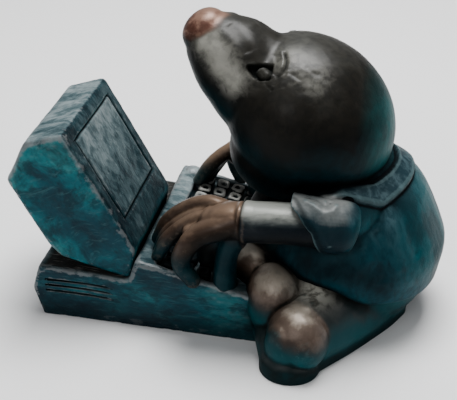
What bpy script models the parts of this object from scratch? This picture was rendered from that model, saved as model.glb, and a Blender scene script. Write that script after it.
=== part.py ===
"""A seated mole typing at an old desktop computer: a garden statue, cast in one piece.

The statue lies along X: the computer's back is at -X, the mole sits at +X and looks towards -X.
The mole's left side is at -Y. The ground is at Z = 0, where the casting is cut off flat.
The middle of its box over the ground is at the origin.
Sizes are in millimetres and become metres when a form's mesh is made. The mole is a free form:
its places and radii are shares of its height, written for a mole 211 mm tall.
"""

import math

import bmesh
import bpy
import numpy as np
from mathutils import Matrix, Vector

MM = 0.001

# The computer's case, which the monitor and the keyboard stand on
CASE_WIDTH = 140.0
CASE_REAR_X = -127.0
CASE_HEIGHT = 41.0
CASE_REAR_BULGE = 6.0
CASE_EDGE = 2.6
SHELF_DIP = 3.0

# The keyboard, at the front of the case
KEYBOARD_REAR_X = -56.0
KEYBOARD_REAR_HEIGHT = 55.0
KEYBOARD_FRONT_X = 44.0
KEYBOARD_FRONT_HEIGHT = 33.0
KEYBOARD_RIM = 5.0
KEY_WELL_REAR_X = -42.0
KEY_WELL_LENGTH = 50.0
KEY_WELL_DEPTH = 4.0
KEY_ROWS = 4
KEY_COLUMNS = 10
KEY_GAP = 2.4
KEY_HEIGHT = 4.6
DECK_BUMP_RADIUS = 8.5
DECK_BUMP_RISE = 4.2

# The vent slots in the sides of the case
VENT_COUNT = 3
VENT_REAR_X = -123.0
VENT_LENGTH = 50.0
VENT_HEIGHT = 1.8
VENT_PITCH = 4.6
VENT_TOP_Z = 31.0
VENT_DEPTH = 2.0

# The monitor, which leans back on the case
MONITOR_WIDTH = 94.0
MONITOR_NEAR_Y = -66.0
MONITOR_HEIGHT = 96.0
MONITOR_DEPTH = 58.0
MONITOR_TILT = 29.0
MONITOR_FRONT_X = -59.0
MONITOR_CHIN = 23.0
MONITOR_EDGE = 4.0
SCREEN_MARGIN_TOP = 11.0
SCREEN_MARGIN_SIDE = 12.0
SCREEN_MARGIN_BOTTOM = 20.0
SCREEN_LINE_WIDTH = 2.0
SCREEN_LINE_DEPTH = 1.6

# The mole, with its pose written for this height
FIGURE_HEIGHT = 211.0
POSE_HEIGHT = 211.0
SHARE = MM * FIGURE_HEIGHT / POSE_HEIGHT

# The mole's head
HEAD_X = 51.0
HEAD_Z = 143.0
HEAD_LONG_RADIUS = 61.2
HEAD_SIDE_RADIUS = 57.0
HEAD_CROSS_RADIUS = 52.5
SNOUT_RISE = 38.0
SNOUT_REACH = 92.0
NOSE_RADIUS = 16.8
EYE_X = 20.5
EYE_Y = 28.8
EYE_Z = 187.0
EYE_RADIUS = 5.0

# The collar, a band round the neck
COLLAR_X = 66.0
COLLAR_INNER = 44.0
COLLAR_OUTER = 56.0
COLLAR_THICKNESS = 3.2

# The hands
FINGER_RADIUS = 5.6
WRIST_RADIUS = 12.5
SLEEVE_RADIUS = 18.0

# Mesh resolution of the figure
VOXEL = 1.6
FIGURE_FACES = 8200


# Helpers for the forms


def new_object(name, bm):
    """Makes an object of a finished bmesh."""
    mesh = bpy.data.meshes.new(name)
    bmesh.ops.recalc_face_normals(bm, faces=bm.faces)
    bm.to_mesh(mesh)
    bm.free()
    item = bpy.data.objects.new(name, mesh)
    bpy.context.scene.collection.objects.link(item)
    return item


def curve_through(rows, steps):
    """A smooth curve through the rows, with some points for each span."""
    rows = np.array(rows, float)
    ends = np.vstack([2 * rows[0] - rows[1], rows, 2 * rows[-1] - rows[-2]])
    points = []
    for i in range(1, len(ends) - 2):
        before, start, end, after = ends[i - 1 : i + 3]
        for t in np.linspace(0, 1, steps, endpoint=False):
            line = 2 * start + (end - before) * t
            bend = (2 * before - 5 * start + 4 * end - after) * t**2
            twist = (3 * start - before - 3 * end + after) * t**3
            points.append(0.5 * (line + bend + twist))
    points.append(rows[-1])
    return np.array(points)


def loft(name, stations, sides=24, steps=6, level=(0, 0, 1), cap=1.0):
    """A closed tube with round ends. A station is x, y, z, half width and half height."""
    curve = curve_through(stations, steps)
    centres = curve[:, :3]
    halves = np.maximum(curve[:, 3:5], 0.3)
    tangents = np.gradient(centres, axis=0)
    tangents /= np.linalg.norm(tangents, axis=1)[:, None]
    stack = list(zip(centres, tangents, halves))
    poles = []
    for end, sign in ((0, -1), (-1, 1)):
        depth = cap * halves[end].min()
        rounds = []
        for k in range(1, 5):
            angle = math.pi / 2 * k / 5
            centre = centres[end] + sign * tangents[end] * depth * math.sin(angle)
            rounds.append((centre, tangents[end], halves[end] * math.cos(angle)))
        stack = rounds[::-1] + stack if sign < 0 else stack + rounds
        poles.append(centres[end] + sign * tangents[end] * depth)
    bm = bmesh.new()
    rings = []
    for centre, tangent, half in stack:
        side = np.cross(level, tangent)
        side /= np.linalg.norm(side)
        rise = np.cross(tangent, side)
        ring = []
        for k in range(sides):
            angle = 2 * math.pi * k / sides
            point = centre + side * half[0] * math.cos(angle) + rise * half[1] * math.sin(angle)
            ring.append(bm.verts.new(point * SHARE))
        rings.append(ring)
    for lower, upper in zip(rings, rings[1:]):
        for k in range(sides):
            nxt = (k + 1) % sides
            bm.faces.new((lower[k], lower[nxt], upper[nxt], upper[k]))
    for ring, pole in ((rings[0], poles[0]), (rings[-1], poles[1])):
        tip = bm.verts.new(pole * SHARE)
        for k in range(sides):
            bm.faces.new((ring[k], ring[(k + 1) % sides], tip))
    return new_object(name, bm)


def ball(name, centre, radii, turn=(0, 0, 0), unit=SHARE):
    """An ellipsoid with radii along its own axes, turned by angles in degrees."""
    bm = bmesh.new()
    bmesh.ops.create_uvsphere(bm, u_segments=32, v_segments=20, radius=unit)
    bmesh.ops.scale(bm, vec=Vector(radii), verts=bm.verts)
    for axis, angle in zip("XYZ", turn):
        turned = Matrix.Rotation(math.radians(angle), 3, axis)
        bmesh.ops.rotate(bm, cent=(0, 0, 0), matrix=turned, verts=bm.verts)
    bmesh.ops.translate(bm, vec=Vector(centre) * unit, verts=bm.verts)
    return new_object(name, bm)


def prism(name, outline, low_y, high_y, edge=0.0, unit=MM):
    """An outline in X and Z, extruded along Y, with its edges rounded."""
    bm = bmesh.new()
    face = bm.faces.new([bm.verts.new((x * unit, low_y * unit, z * unit)) for x, z in outline])
    extruded = bmesh.ops.extrude_face_region(bm, geom=[face])["geom"]
    moved = [v for v in extruded if isinstance(v, bmesh.types.BMVert)]
    bmesh.ops.translate(bm, vec=(0, (high_y - low_y) * unit, 0), verts=moved)
    bmesh.ops.recalc_face_normals(bm, faces=bm.faces)
    if edge:
        bmesh.ops.bevel(bm, geom=bm.edges[:], offset=edge * MM, segments=2, profile=0.5, affect="EDGES")
    return new_object(name, bm)


def combine(target, tool, operation):
    """Joins a tool to the target, or cuts it out of the target."""
    modifier = target.modifiers.new(operation, "BOOLEAN")
    modifier.operation = operation
    modifier.solver = "EXACT"
    modifier.object = tool
    settle(target)
    bpy.data.objects.remove(tool)


def settle(item):
    """Makes the result of an object's modifiers its own mesh."""
    bpy.context.view_layer.update()
    evaluated = item.evaluated_get(bpy.context.evaluated_depsgraph_get())
    mesh = bpy.data.meshes.new_from_object(evaluated)
    item.modifiers.clear()
    item.data = mesh


def one_skin(name, forms, soften_steps):
    """Makes one closed skin over overlapping forms and softens its creases."""
    joined = bmesh.new()
    for form in forms:
        joined.from_mesh(form.data)
        bpy.data.objects.remove(form)
    skin = new_object(name, joined)
    remesh = skin.modifiers.new("skin", "REMESH")
    remesh.mode = "VOXEL"
    remesh.voxel_size = VOXEL * SHARE
    soften = skin.modifiers.new("soften", "SMOOTH")
    soften.iterations = soften_steps
    settle(skin)
    return skin


# The computer


def rim_height(x):
    """Height of the keyboard's top at a place along it."""
    share = (x - KEYBOARD_REAR_X) / (KEYBOARD_FRONT_X - KEYBOARD_REAR_X)
    return KEYBOARD_REAR_HEIGHT + (KEYBOARD_FRONT_HEIGHT - KEYBOARD_REAR_HEIGHT) * share


def computer():
    """The case with its keyboard, and the monitor on it."""
    half = CASE_WIDTH / 2
    bottom = -6.0
    case = prism(
        "case",
        [
            (CASE_REAR_X + 2, bottom),
            (CASE_REAR_X - CASE_REAR_BULGE, CASE_HEIGHT * 0.52),
            (CASE_REAR_X, CASE_HEIGHT),
            (KEYBOARD_REAR_X - 6, CASE_HEIGHT - SHELF_DIP),
            (KEYBOARD_REAR_X, KEYBOARD_REAR_HEIGHT),
            (KEYBOARD_FRONT_X, KEYBOARD_FRONT_HEIGHT),
            (KEYBOARD_FRONT_X, bottom),
        ],
        -half,
        half,
        CASE_EDGE,
    )
    well_front_x = KEY_WELL_REAR_X + KEY_WELL_LENGTH
    well = prism(
        "well",
        [
            (KEY_WELL_REAR_X, rim_height(KEY_WELL_REAR_X) - KEY_WELL_DEPTH),
            (KEY_WELL_REAR_X, rim_height(KEY_WELL_REAR_X) + 9),
            (well_front_x, rim_height(well_front_x) + 9),
            (well_front_x, rim_height(well_front_x) - KEY_WELL_DEPTH),
        ],
        -half + KEYBOARD_RIM,
        half - KEYBOARD_RIM,
    )
    combine(case, well, "DIFFERENCE")
    bump_x = KEYBOARD_REAR_X + DECK_BUMP_RADIUS
    bump_y = half - DECK_BUMP_RADIUS
    bump_radii = (DECK_BUMP_RADIUS, DECK_BUMP_RADIUS - 0.5, DECK_BUMP_RISE + 2)
    combine(case, ball("bump", (bump_x, bump_y, rim_height(bump_x) - 2), bump_radii, unit=MM), "UNION")
    row_pitch = (KEY_WELL_LENGTH - KEY_GAP) / KEY_ROWS
    column_pitch = (CASE_WIDTH - 2 * KEYBOARD_RIM - KEY_GAP) / KEY_COLUMNS
    for row in range(KEY_ROWS):
        start_x = KEY_WELL_REAR_X + KEY_GAP + row * row_pitch
        end_x = start_x + row_pitch - KEY_GAP
        for column in range(KEY_COLUMNS):
            low_y = -half + KEYBOARD_RIM + KEY_GAP + column * column_pitch
            top = KEY_HEIGHT - KEY_WELL_DEPTH
            key = prism(
                "key",
                [
                    (start_x, rim_height(start_x) - KEY_WELL_DEPTH - 2),
                    (start_x + 0.8, rim_height(start_x) + top),
                    (end_x - 0.8, rim_height(end_x) + top),
                    (end_x, rim_height(end_x) - KEY_WELL_DEPTH - 2),
                ],
                low_y,
                low_y + column_pitch - KEY_GAP,
            )
            combine(case, key, "UNION")
    for side in (-1, 1):
        for number in range(VENT_COUNT):
            top = VENT_TOP_Z - number * VENT_PITCH
            slot = prism(
                "slot",
                [
                    (VENT_REAR_X, top - VENT_HEIGHT - 2.5),
                    (VENT_REAR_X + 3, top - VENT_HEIGHT),
                    (VENT_REAR_X + VENT_LENGTH * 0.6, top - VENT_HEIGHT),
                    (VENT_REAR_X + VENT_LENGTH, top - VENT_HEIGHT - 2.5),
                    (VENT_REAR_X + VENT_LENGTH * 0.6, top),
                    (VENT_REAR_X + 3, top),
                ],
                side * half - VENT_DEPTH,
                side * half + VENT_DEPTH,
            )
            combine(case, slot, "DIFFERENCE")
    combine(case, monitor(), "UNION")
    return case


def monitor():
    """A wedge of a monitor with a line cut round its screen."""
    tilt = math.radians(MONITOR_TILT)
    up = np.array([-math.sin(tilt), math.cos(tilt)])
    back = np.array([-math.cos(tilt), -math.sin(tilt)])
    foot = np.array([MONITOR_FRONT_X - 2.0, CASE_HEIGHT - SHELF_DIP - 4])
    chin = np.array([MONITOR_FRONT_X + 3.0, CASE_HEIGHT - SHELF_DIP + MONITOR_CHIN])
    top = chin + up * MONITOR_HEIGHT
    crown = top + back * 29 + up * 5.5
    rear = top + back * MONITOR_DEPTH - up * 14
    heel = rear - up * 56
    toe = heel + np.array([8.0, -8.0])
    near = MONITOR_NEAR_Y
    far = near + MONITOR_WIDTH
    outline = [tuple(p) for p in (foot, chin, top, crown, rear, heel, toe)]
    shell = prism("monitor", outline, near, far, MONITOR_EDGE)
    low = chin + up * SCREEN_MARGIN_BOTTOM
    high = top - up * SCREEN_MARGIN_TOP
    depth = back * SCREEN_LINE_DEPTH
    proud = back * 6
    step = up * SCREEN_LINE_WIDTH
    left = near + SCREEN_MARGIN_SIDE
    right = far - SCREEN_MARGIN_SIDE
    section = [tuple(p) for p in (low + depth, high + depth, high - proud, low - proud)]
    frame = prism("frame", section, left, right)
    low = low + step
    high = high - step
    section = [tuple(p) for p in (low + depth * 3, high + depth * 3, high - proud, low - proud)]
    island = prism("island", section, left + SCREEN_LINE_WIDTH, right - SCREEN_LINE_WIDTH)
    combine(frame, island, "DIFFERENCE")
    combine(shell, frame, "DIFFERENCE")
    return shell


# The mole


def snout_frame():
    """The head's centre, the direction of the snout and the direction square to it, upwards."""
    rise = math.radians(SNOUT_RISE)
    along = np.array([-math.cos(rise), 0, math.sin(rise)])
    over = np.array([math.sin(rise), 0, math.cos(rise)])
    return np.array([HEAD_X, 0, HEAD_Z]), along, over


def head():
    """The round head with the long snout, as one soft form."""
    centre, along, over = snout_frame()
    skull = ball("skull", centre, (HEAD_LONG_RADIUS, HEAD_SIDE_RADIUS, HEAD_CROSS_RADIUS), (0, SNOUT_RISE, 0))
    stations = []
    for reach, drop, radius in (
        (0.00, 3.0, 45.0),
        (0.42, 4.4, 37.4),
        (0.60, 3.8, 33.2),
        (0.75, 3.0, 29.8),
        (0.87, 2.2, 24.8),
        (0.95, 1.6, 20.8),
        (1.00, 1.0, NOSE_RADIUS),
    ):
        point = centre + along * reach * SNOUT_REACH - over * drop
        stations.append((*point, radius, radius))
    snout = loft("snout", stations, sides=32, cap=0.75)
    jowl = ball("jowl", centre + np.array([-12, 0, -24]), (43, 45, 36))
    return one_skin("head", [skull, snout, jowl], 12)


def jacket_forms():
    """The jacket's body, from its hem to the shoulders, and the rump under it."""
    body = loft(
        "jacket",
        [
            (83, 0, 37, 61, 62),
            (84, 0, 45, 64.5, 64),
            (84, 0, 58, 66, 65),
            (82, 0, 80, 59, 55),
            (75, 0, 99, 45, 40.5),
            (68, 0, 116, 36, 33.5),
        ],
        sides=40,
        level=(-1, 0, 0),
        cap=0.1,
    )
    rump = loft(
        "rump",
        [(83, 0, -4, 44, 44), (83, 0, 12, 50, 49), (84, 0, 30, 58, 57), (84, 0, 48, 60, 59)],
        sides=40,
        level=(-1, 0, 0),
        cap=0.1,
    )
    return [body, rump]


def arm_forms(side):
    """A wide sleeve, the forearm that comes out of it and the hand. The far hand lies flatter."""
    fall = 0 if side < 0 else -5
    sleeve = loft(
        "sleeve",
        [
            (89, 58 * side, 94, 15, 16),
            (82, 60 * side, 96, SLEEVE_RADIUS, SLEEVE_RADIUS),
            (66, 63 * side, 98, SLEEVE_RADIUS, SLEEVE_RADIUS),
            (46, 62 * side, 100, SLEEVE_RADIUS, SLEEVE_RADIUS - 1),
            (26, 58 * side, 103, SLEEVE_RADIUS, SLEEVE_RADIUS - 2),
        ],
        sides=32,
        cap=0.1,
    )
    low, high = sorted((side * 30, side * 95))
    opening = [(-10, 60), (72, 60), (70, 84), (65, 100), (55, 111), (46, 116), (36, 118.5), (-10, 124)]
    mouth = prism("mouth", opening, low, high, unit=SHARE)
    combine(sleeve, mouth, "DIFFERENCE")
    shoulder = loft(
        "shoulder",
        [(88, 26 * side, 92, 26, 22), (80, 42 * side, 95, 22, 20), (72, 54 * side, 99, 17, 17)],
    )
    forearm = loft(
        "forearm",
        [
            (76, 62 * side, 96, 15, 14),
            (46, 66 * side, 97, 14.5, 14),
            (17, 67 * side, 95, WRIST_RADIUS + 0.5, WRIST_RADIUS + 1.5),
        ],
        cap=0.2,
    )
    hand = loft(
        "hand",
        [
            (24, 67 * side, 95, WRIST_RADIUS - 1.5, WRIST_RADIUS - 0.5),
            (10, 65 * side, 94, 14, 12.5),
            (-2, 62 * side, 92 + fall, 14, 9),
        ],
    )
    forms = [sleeve, shoulder, forearm, hand]
    r = FINGER_RADIUS
    if side < 0:
        first = [(8, 57, 97, r), (-7, 53, 98, r), (-22, 50, 91, r), (-37, 48, 77, r), (-46, 46, 60, r - 1)]
        second = [(6, 65, 95, r), (-8, 63, 92, r), (-22, 61, 83, r), (-35, 60, 69, r), (-43, 58, 53, r - 1)]
        third = [(14, 70, 96, 9), (2, 73, 91, 9), (-11, 75, 84, 8), (-19, 76, 73, 7.2)]
        third += [(-22, 74, 60, 6.6), (-15, 71, 46, r)]
    else:
        first = [(8, 57, 91, r), (-6, 53, 87, r), (-19, 51, 79, r), (-30, 49, 68, r), (-39, 46, 55, r - 1)]
        second = [(6, 65, 90, r), (-7, 63, 84, r), (-19, 61, 75, r), (-28, 59, 63, r), (-35, 57, 50, r - 1)]
        third = [(9, 72, 92, r), (-4, 74, 85, r + 1), (-14, 75, 74, r + 1)]
        third += [(-18, 74, 60, r), (-11, 70, 45, r - 1)]
    heel = [(15, 66, 86, 9), (9, 65, 72, 8), (6, 63, 57, 8), (5, 61, 40, 9)]
    for path in (first, second, third, heel):
        forms.append(loft("finger", [(x, y * side, z, a, a) for x, y, z, a in path], sides=16))
    return forms


def leg_forms(side):
    """A short leg, splayed out on the ground, with three big toes."""
    forms = [
        loft(
            "leg",
            [
                (98, 10 * side, 14, 30, 22),
                (88, 36 * side, 18, 27, 26),
                (76, 58 * side, 20, 24, 28),
                (62, 80 * side, 20, 21, 26),
                (56, 90 * side, 18, 17, 22),
            ],
        ),
        ball("instep", (64, 54 * side, 26), (26, 24, 24)),
        loft(
            "edge",
            [
                (62, 92 * side, 3, 12, 12),
                (87, 63 * side, 3, 10, 12),
                (108, 32 * side, 2, 10, 14),
                (116, 12 * side, 2, 12, 14),
            ],
        ),
        ball("sole", (56, 92.5 * side, 2), (20.5, 18.5, 18)),
        loft(
            "foot",
            [
                (38, 56 * side, 14, 17, 18),
                (46, 70 * side, 11, 18.5, 18),
                (51, 81 * side, 8, 19, 18),
                (56, 90 * side, 3, 20, 17),
            ],
            cap=0.6,
        ),
    ]
    for x, y, z, across, high in ((22, 38, 33, 18, 25), (40, 59, 30, 20.5, 27), (60, 85, 22, 20, 23)):
        forms.append(ball("toe", (x, y * side, z), (across, across + 4, high), (0, 0, -35 * side)))
    return forms


def figure():
    """The whole mole as one skin."""
    forms = [head()] + jacket_forms()
    for side in (-1, 1):
        forms += arm_forms(side) + leg_forms(side)
    forms.append(ball("belly", (48, 0, 52), (42, 46, 44)))
    return one_skin("mole_statue", forms, 3)


def ramp(values, start, end):
    """Rises softly from 0 at the start to 1 at the end."""
    t = np.clip((values - start) / (end - start), 0, 1)
    return t * t * (3 - 2 * t)


def raise_collar(item):
    """Lifts a band round the neck off the jacket, open under the chin."""
    mesh = item.data
    places = np.array([v.co for v in mesh.vertices]) / SHARE
    normals = np.array([v.normal for v in mesh.vertices])
    reach = np.hypot(places[:, 0] - COLLAR_X, places[:, 1])
    turn = np.degrees(np.abs(np.arctan2(places[:, 1], places[:, 0] - COLLAR_X)))
    band = ramp(reach, COLLAR_INNER, COLLAR_INNER + 1) * ramp(reach, COLLAR_OUTER + 1.2, COLLAR_OUTER)
    band *= ramp(places[:, 2], 98, 101) * ramp(places[:, 2], 126, 123) * ramp(turn, 84, 74)
    band *= ramp(normals[:, 2], 0.1, 0.3)
    places += normals * (band * COLLAR_THICKNESS)[:, None]
    mesh.vertices.foreach_set("co", (places * SHARE).ravel())
    mesh.update()


def carve(item):
    """Raises the collar and cuts the eyes, the brows and the cuffs."""
    raise_collar(item)
    for side in (-1, 1):
        eye = np.array([EYE_X, EYE_Y * side, EYE_Z])
        outward = np.array([-0.30, 0.72 * side, 0.62])
        outward /= np.linalg.norm(outward)
        socket = ball("socket", eye - outward * 0.5, (8.6, 6.0, 6.4), (52 * side, 0, 4 * side))
        combine(item, socket, "DIFFERENCE")
        lid = ball("lid", eye + np.array([3.6, -0.6 * side, -3.4]) - outward * 3.0, (EYE_RADIUS,) * 3)
        combine(item, lid, "UNION")
        brow = loft(
            "brow",
            [
                (32.5, 17 * side, 197, 1.4, 1.2),
                (35.0, 24 * side, 194.5, 1.4, 1.6),
                (34.8, 31 * side, 190.0, 1.4, 1.6),
                (31.0, 37 * side, 184.5, 1.2, 1.2),
            ],
            sides=10,
            level=(1, 0, 0),
        )
        combine(item, brow, "DIFFERENCE")
        cuff = bmesh.new()
        wrist = np.array([18.5, 67.0 * side, 95.2])
        bmesh.ops.create_cone(
            cuff,
            cap_ends=True,
            segments=28,
            radius1=(WRIST_RADIUS + 4) * SHARE,
            radius2=(WRIST_RADIUS + 4) * SHARE,
            depth=1.4 * SHARE,
            matrix=Matrix.Translation(Vector(wrist) * SHARE) @ Matrix.Rotation(math.radians(90), 4, "Y"),
        )
        blade = new_object("cuff", cuff)
        core = ball("core", wrist, (4, WRIST_RADIUS - 0.6, WRIST_RADIUS + 0.2))
        combine(blade, core, "DIFFERENCE")
        combine(item, blade, "DIFFERENCE")


def build():
    """Builds the statue."""
    for item in list(bpy.data.objects):
        bpy.data.objects.remove(item)
    statue = figure()
    carve(statue)
    thin = statue.modifiers.new("thin", "DECIMATE")
    thin.ratio = FIGURE_FACES / (2 * len(statue.data.polygons))
    settle(statue)
    combine(statue, computer(), "UNION")
    reach = CASE_WIDTH + FIGURE_HEIGHT
    below = FIGURE_HEIGHT / 2
    ground = prism("ground", [(-reach, -below), (reach, -below), (reach, 0), (-reach, 0)], -reach, reach)
    combine(statue, ground, "DIFFERENCE")
    places = np.array([v.co for v in statue.data.vertices])
    middle = (places.min(axis=0) + places.max(axis=0)) / 2
    statue.data.transform(Matrix.Translation((-middle[0], -middle[1], 0)))
    statue.data.shade_smooth()
    statue.data.set_sharp_from_angle(angle=math.radians(35))
    bronze = bpy.data.materials.new("patinated_bronze")
    bronze.use_nodes = True
    surface = bronze.node_tree.nodes["Principled BSDF"]
    surface.inputs["Base Color"].default_value = (0.055, 0.085, 0.085, 1.0)
    surface.inputs["Metallic"].default_value = 0.4
    surface.inputs["Roughness"].default_value = 0.45
    statue.data.materials.clear()
    statue.data.materials.append(bronze)


build()
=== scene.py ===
import math

import bmesh
import bpy
import numpy as np
from mathutils import Matrix, Vector
from mathutils.bvhtree import BVHTree


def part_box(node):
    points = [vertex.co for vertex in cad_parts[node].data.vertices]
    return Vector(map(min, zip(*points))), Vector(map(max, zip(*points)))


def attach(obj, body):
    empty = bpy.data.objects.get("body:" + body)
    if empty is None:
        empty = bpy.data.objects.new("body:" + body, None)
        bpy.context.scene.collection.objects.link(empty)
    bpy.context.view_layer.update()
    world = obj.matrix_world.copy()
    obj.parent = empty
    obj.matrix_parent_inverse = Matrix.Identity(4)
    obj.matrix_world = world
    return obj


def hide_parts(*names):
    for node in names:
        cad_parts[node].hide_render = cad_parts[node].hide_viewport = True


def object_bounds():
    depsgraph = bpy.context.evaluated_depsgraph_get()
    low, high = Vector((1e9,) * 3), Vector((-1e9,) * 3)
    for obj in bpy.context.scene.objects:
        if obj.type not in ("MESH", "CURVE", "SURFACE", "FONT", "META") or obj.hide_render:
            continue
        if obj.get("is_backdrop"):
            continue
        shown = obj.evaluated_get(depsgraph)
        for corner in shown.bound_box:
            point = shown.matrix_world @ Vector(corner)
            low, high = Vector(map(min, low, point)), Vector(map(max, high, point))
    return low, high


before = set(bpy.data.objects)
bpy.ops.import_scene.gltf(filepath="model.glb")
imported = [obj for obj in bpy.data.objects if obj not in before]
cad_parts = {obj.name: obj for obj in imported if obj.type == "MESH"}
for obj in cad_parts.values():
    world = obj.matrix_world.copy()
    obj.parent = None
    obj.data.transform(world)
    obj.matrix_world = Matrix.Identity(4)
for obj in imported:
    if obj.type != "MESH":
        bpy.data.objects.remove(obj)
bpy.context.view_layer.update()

# The case of the computer, with the keyboard's sloping deck at its front.
# It is the lower part of the bronze casting, modelled by hand in wax, so that its sides
# are a little uneven. Its vents are cut into the wax, and its deck has a sunken key well.

MM = 0.001
MIDDLE_SHIFT = -2.04
CASE_WIDTH = 140.0
CASE_REAR_X = -127.0
CASE_HEIGHT = 41.0
CASE_REAR_BULGE = 6.0
CASE_EDGE = 2.2
SHELF_DIP = 3.0
KEYBOARD_REAR_X = -56.0
KEYBOARD_REAR_HEIGHT = 55.0
KEYBOARD_FRONT_X = 44.0
KEYBOARD_FRONT_HEIGHT = 33.0
KEYBOARD_RIM = 5.0
KEY_WELL_REAR_X = -42.0
KEY_WELL_LENGTH = 50.0
KEY_WELL_DEPTH = 4.0
DECK_BUMP_RADIUS = 8.5
DECK_BUMP_RISE = 4.2
VENT_COUNT = 3
VENT_REAR_X = -123.0
VENT_LENGTH = 50.0
VENT_HEIGHT = 2.0
VENT_PITCH = 4.6
VENT_TOP_Z = 31.0
VENT_DEPTH = 2.2


def new_object(name, bm):
    """Makes an object of a finished mesh, with its faces pointing outwards."""
    mesh = bpy.data.meshes.new(name)
    bmesh.ops.recalc_face_normals(bm, faces=bm.faces)
    bm.to_mesh(mesh)
    bm.free()
    item = bpy.data.objects.new(name, mesh)
    bpy.context.scene.collection.objects.link(item)
    return item


def settle(item):
    """Makes the result of an object's modifiers its own mesh."""
    bpy.context.view_layer.update()
    evaluated = item.evaluated_get(bpy.context.evaluated_depsgraph_get())
    mesh = bpy.data.meshes.new_from_object(evaluated)
    item.modifiers.clear()
    item.data = mesh


def combine(target, tool, operation):
    """Joins a tool to the target, or cuts it out of the target."""
    modifier = target.modifiers.new(operation, "BOOLEAN")
    modifier.operation = operation
    modifier.solver = "EXACT"
    modifier.object = tool
    settle(target)
    bpy.data.objects.remove(tool)


def prism(name, outline, low_y, high_y, edge=0.0):
    """An outline in X and Z, extruded along Y, with its edges rounded."""
    bm = bmesh.new()
    face = bm.faces.new([bm.verts.new((x * MM, low_y * MM, z * MM)) for x, z in outline])
    extruded = bmesh.ops.extrude_face_region(bm, geom=[face])["geom"]
    moved = [v for v in extruded if isinstance(v, bmesh.types.BMVert)]
    bmesh.ops.translate(bm, vec=(0, (high_y - low_y) * MM, 0), verts=moved)
    bmesh.ops.recalc_face_normals(bm, faces=bm.faces)
    if edge:
        bmesh.ops.bevel(bm, geom=bm.edges[:], offset=edge * MM, segments=2, profile=0.5, affect="EDGES")
    return new_object(name, bm)


def ball(name, centre, radii, turn=(0, 0, 0)):
    """An ellipsoid with radii along its own axes, turned by angles in degrees."""
    bm = bmesh.new()
    bmesh.ops.create_uvsphere(bm, u_segments=48, v_segments=32, radius=MM)
    bmesh.ops.scale(bm, vec=Vector(radii), verts=bm.verts)
    for axis, angle in zip("XYZ", turn):
        rotation = Matrix.Rotation(math.radians(angle), 3, axis)
        bmesh.ops.rotate(bm, cent=(0, 0, 0), matrix=rotation, verts=bm.verts)
    bmesh.ops.translate(bm, vec=Vector(centre) * MM, verts=bm.verts)
    return new_object(name, bm)


def one_skin(name, forms, voxel, soften_steps):
    """Makes one closed skin over overlapping wax forms and softens its creases."""
    joined = bmesh.new()
    for form in forms:
        joined.from_mesh(form.data)
        bpy.data.objects.remove(form)
    skin = new_object(name, joined)
    remesh = skin.modifiers.new("skin", "REMESH")
    remesh.mode = "VOXEL"
    remesh.voxel_size = voxel * MM
    soften = skin.modifiers.new("soften", "SMOOTH")
    soften.iterations = soften_steps
    settle(skin)
    return skin


def read(item):
    """The places in millimetres and the outward directions of a piece's points."""
    count = len(item.data.vertices)
    places = np.empty(count * 3, np.float32)
    item.data.vertices.foreach_get("co", places)
    outward = np.empty(count * 3, np.float32)
    item.data.vertices.foreach_get("normal", outward)
    return places.reshape(-1, 3).astype(float) / MM, outward.reshape(-1, 3).astype(float)


def move(item, places):
    """Puts a piece's points at new places in millimetres."""
    item.data.vertices.foreach_set("co", (places * MM).astype(np.float32).ravel())
    item.data.update()


def ramp(values, start, end):
    """Rises softly from 0 at the start to 1 at the end."""
    t = np.clip((values - start) / (end - start), 0, 1)
    return t * t * (3 - 2 * t)


def lumps(places, size, seed):
    """Soft random hills and hollows, from -1 to 1, of about one size in millimetres."""
    lattice = np.random.default_rng(seed).uniform(-1, 1, (24, 24, 24))
    spots = places / size + 240
    cell = np.floor(spots).astype(int)
    share = spots - cell
    share = share * share * (3 - 2 * share)
    total = np.zeros(len(places))
    for corner in np.ndindex(2, 2, 2):
        weight = np.prod(np.where(corner, share, 1 - share), axis=1)
        total += weight * lattice[tuple(((cell + corner) % 24).T)]
    return total


def rim_height(x):
    """Height of the keyboard's top at a place along it."""
    share = (x - KEYBOARD_REAR_X) / (KEYBOARD_FRONT_X - KEYBOARD_REAR_X)
    return KEYBOARD_REAR_HEIGHT + (KEYBOARD_FRONT_HEIGHT - KEYBOARD_REAR_HEIGHT) * share


def flat_underside(item):
    """Cuts a piece off flat at the ground and closes the cut."""
    bm = bmesh.new()
    bm.from_mesh(item.data)
    everything = bm.verts[:] + bm.edges[:] + bm.faces[:]
    bmesh.ops.bisect_plane(
        bm, geom=everything, dist=1e-6, plane_co=(0, 0, 0), plane_no=(0, 0, -1), clear_outer=True
    )
    rim = [e for e in bm.edges if e.is_boundary]
    bmesh.ops.holes_fill(bm, edges=rim, sides=0)
    bmesh.ops.triangulate(bm, faces=[f for f in bm.faces if len(f.verts) > 4])
    bm.to_mesh(item.data)
    bm.free()
    item.data.update()


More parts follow.
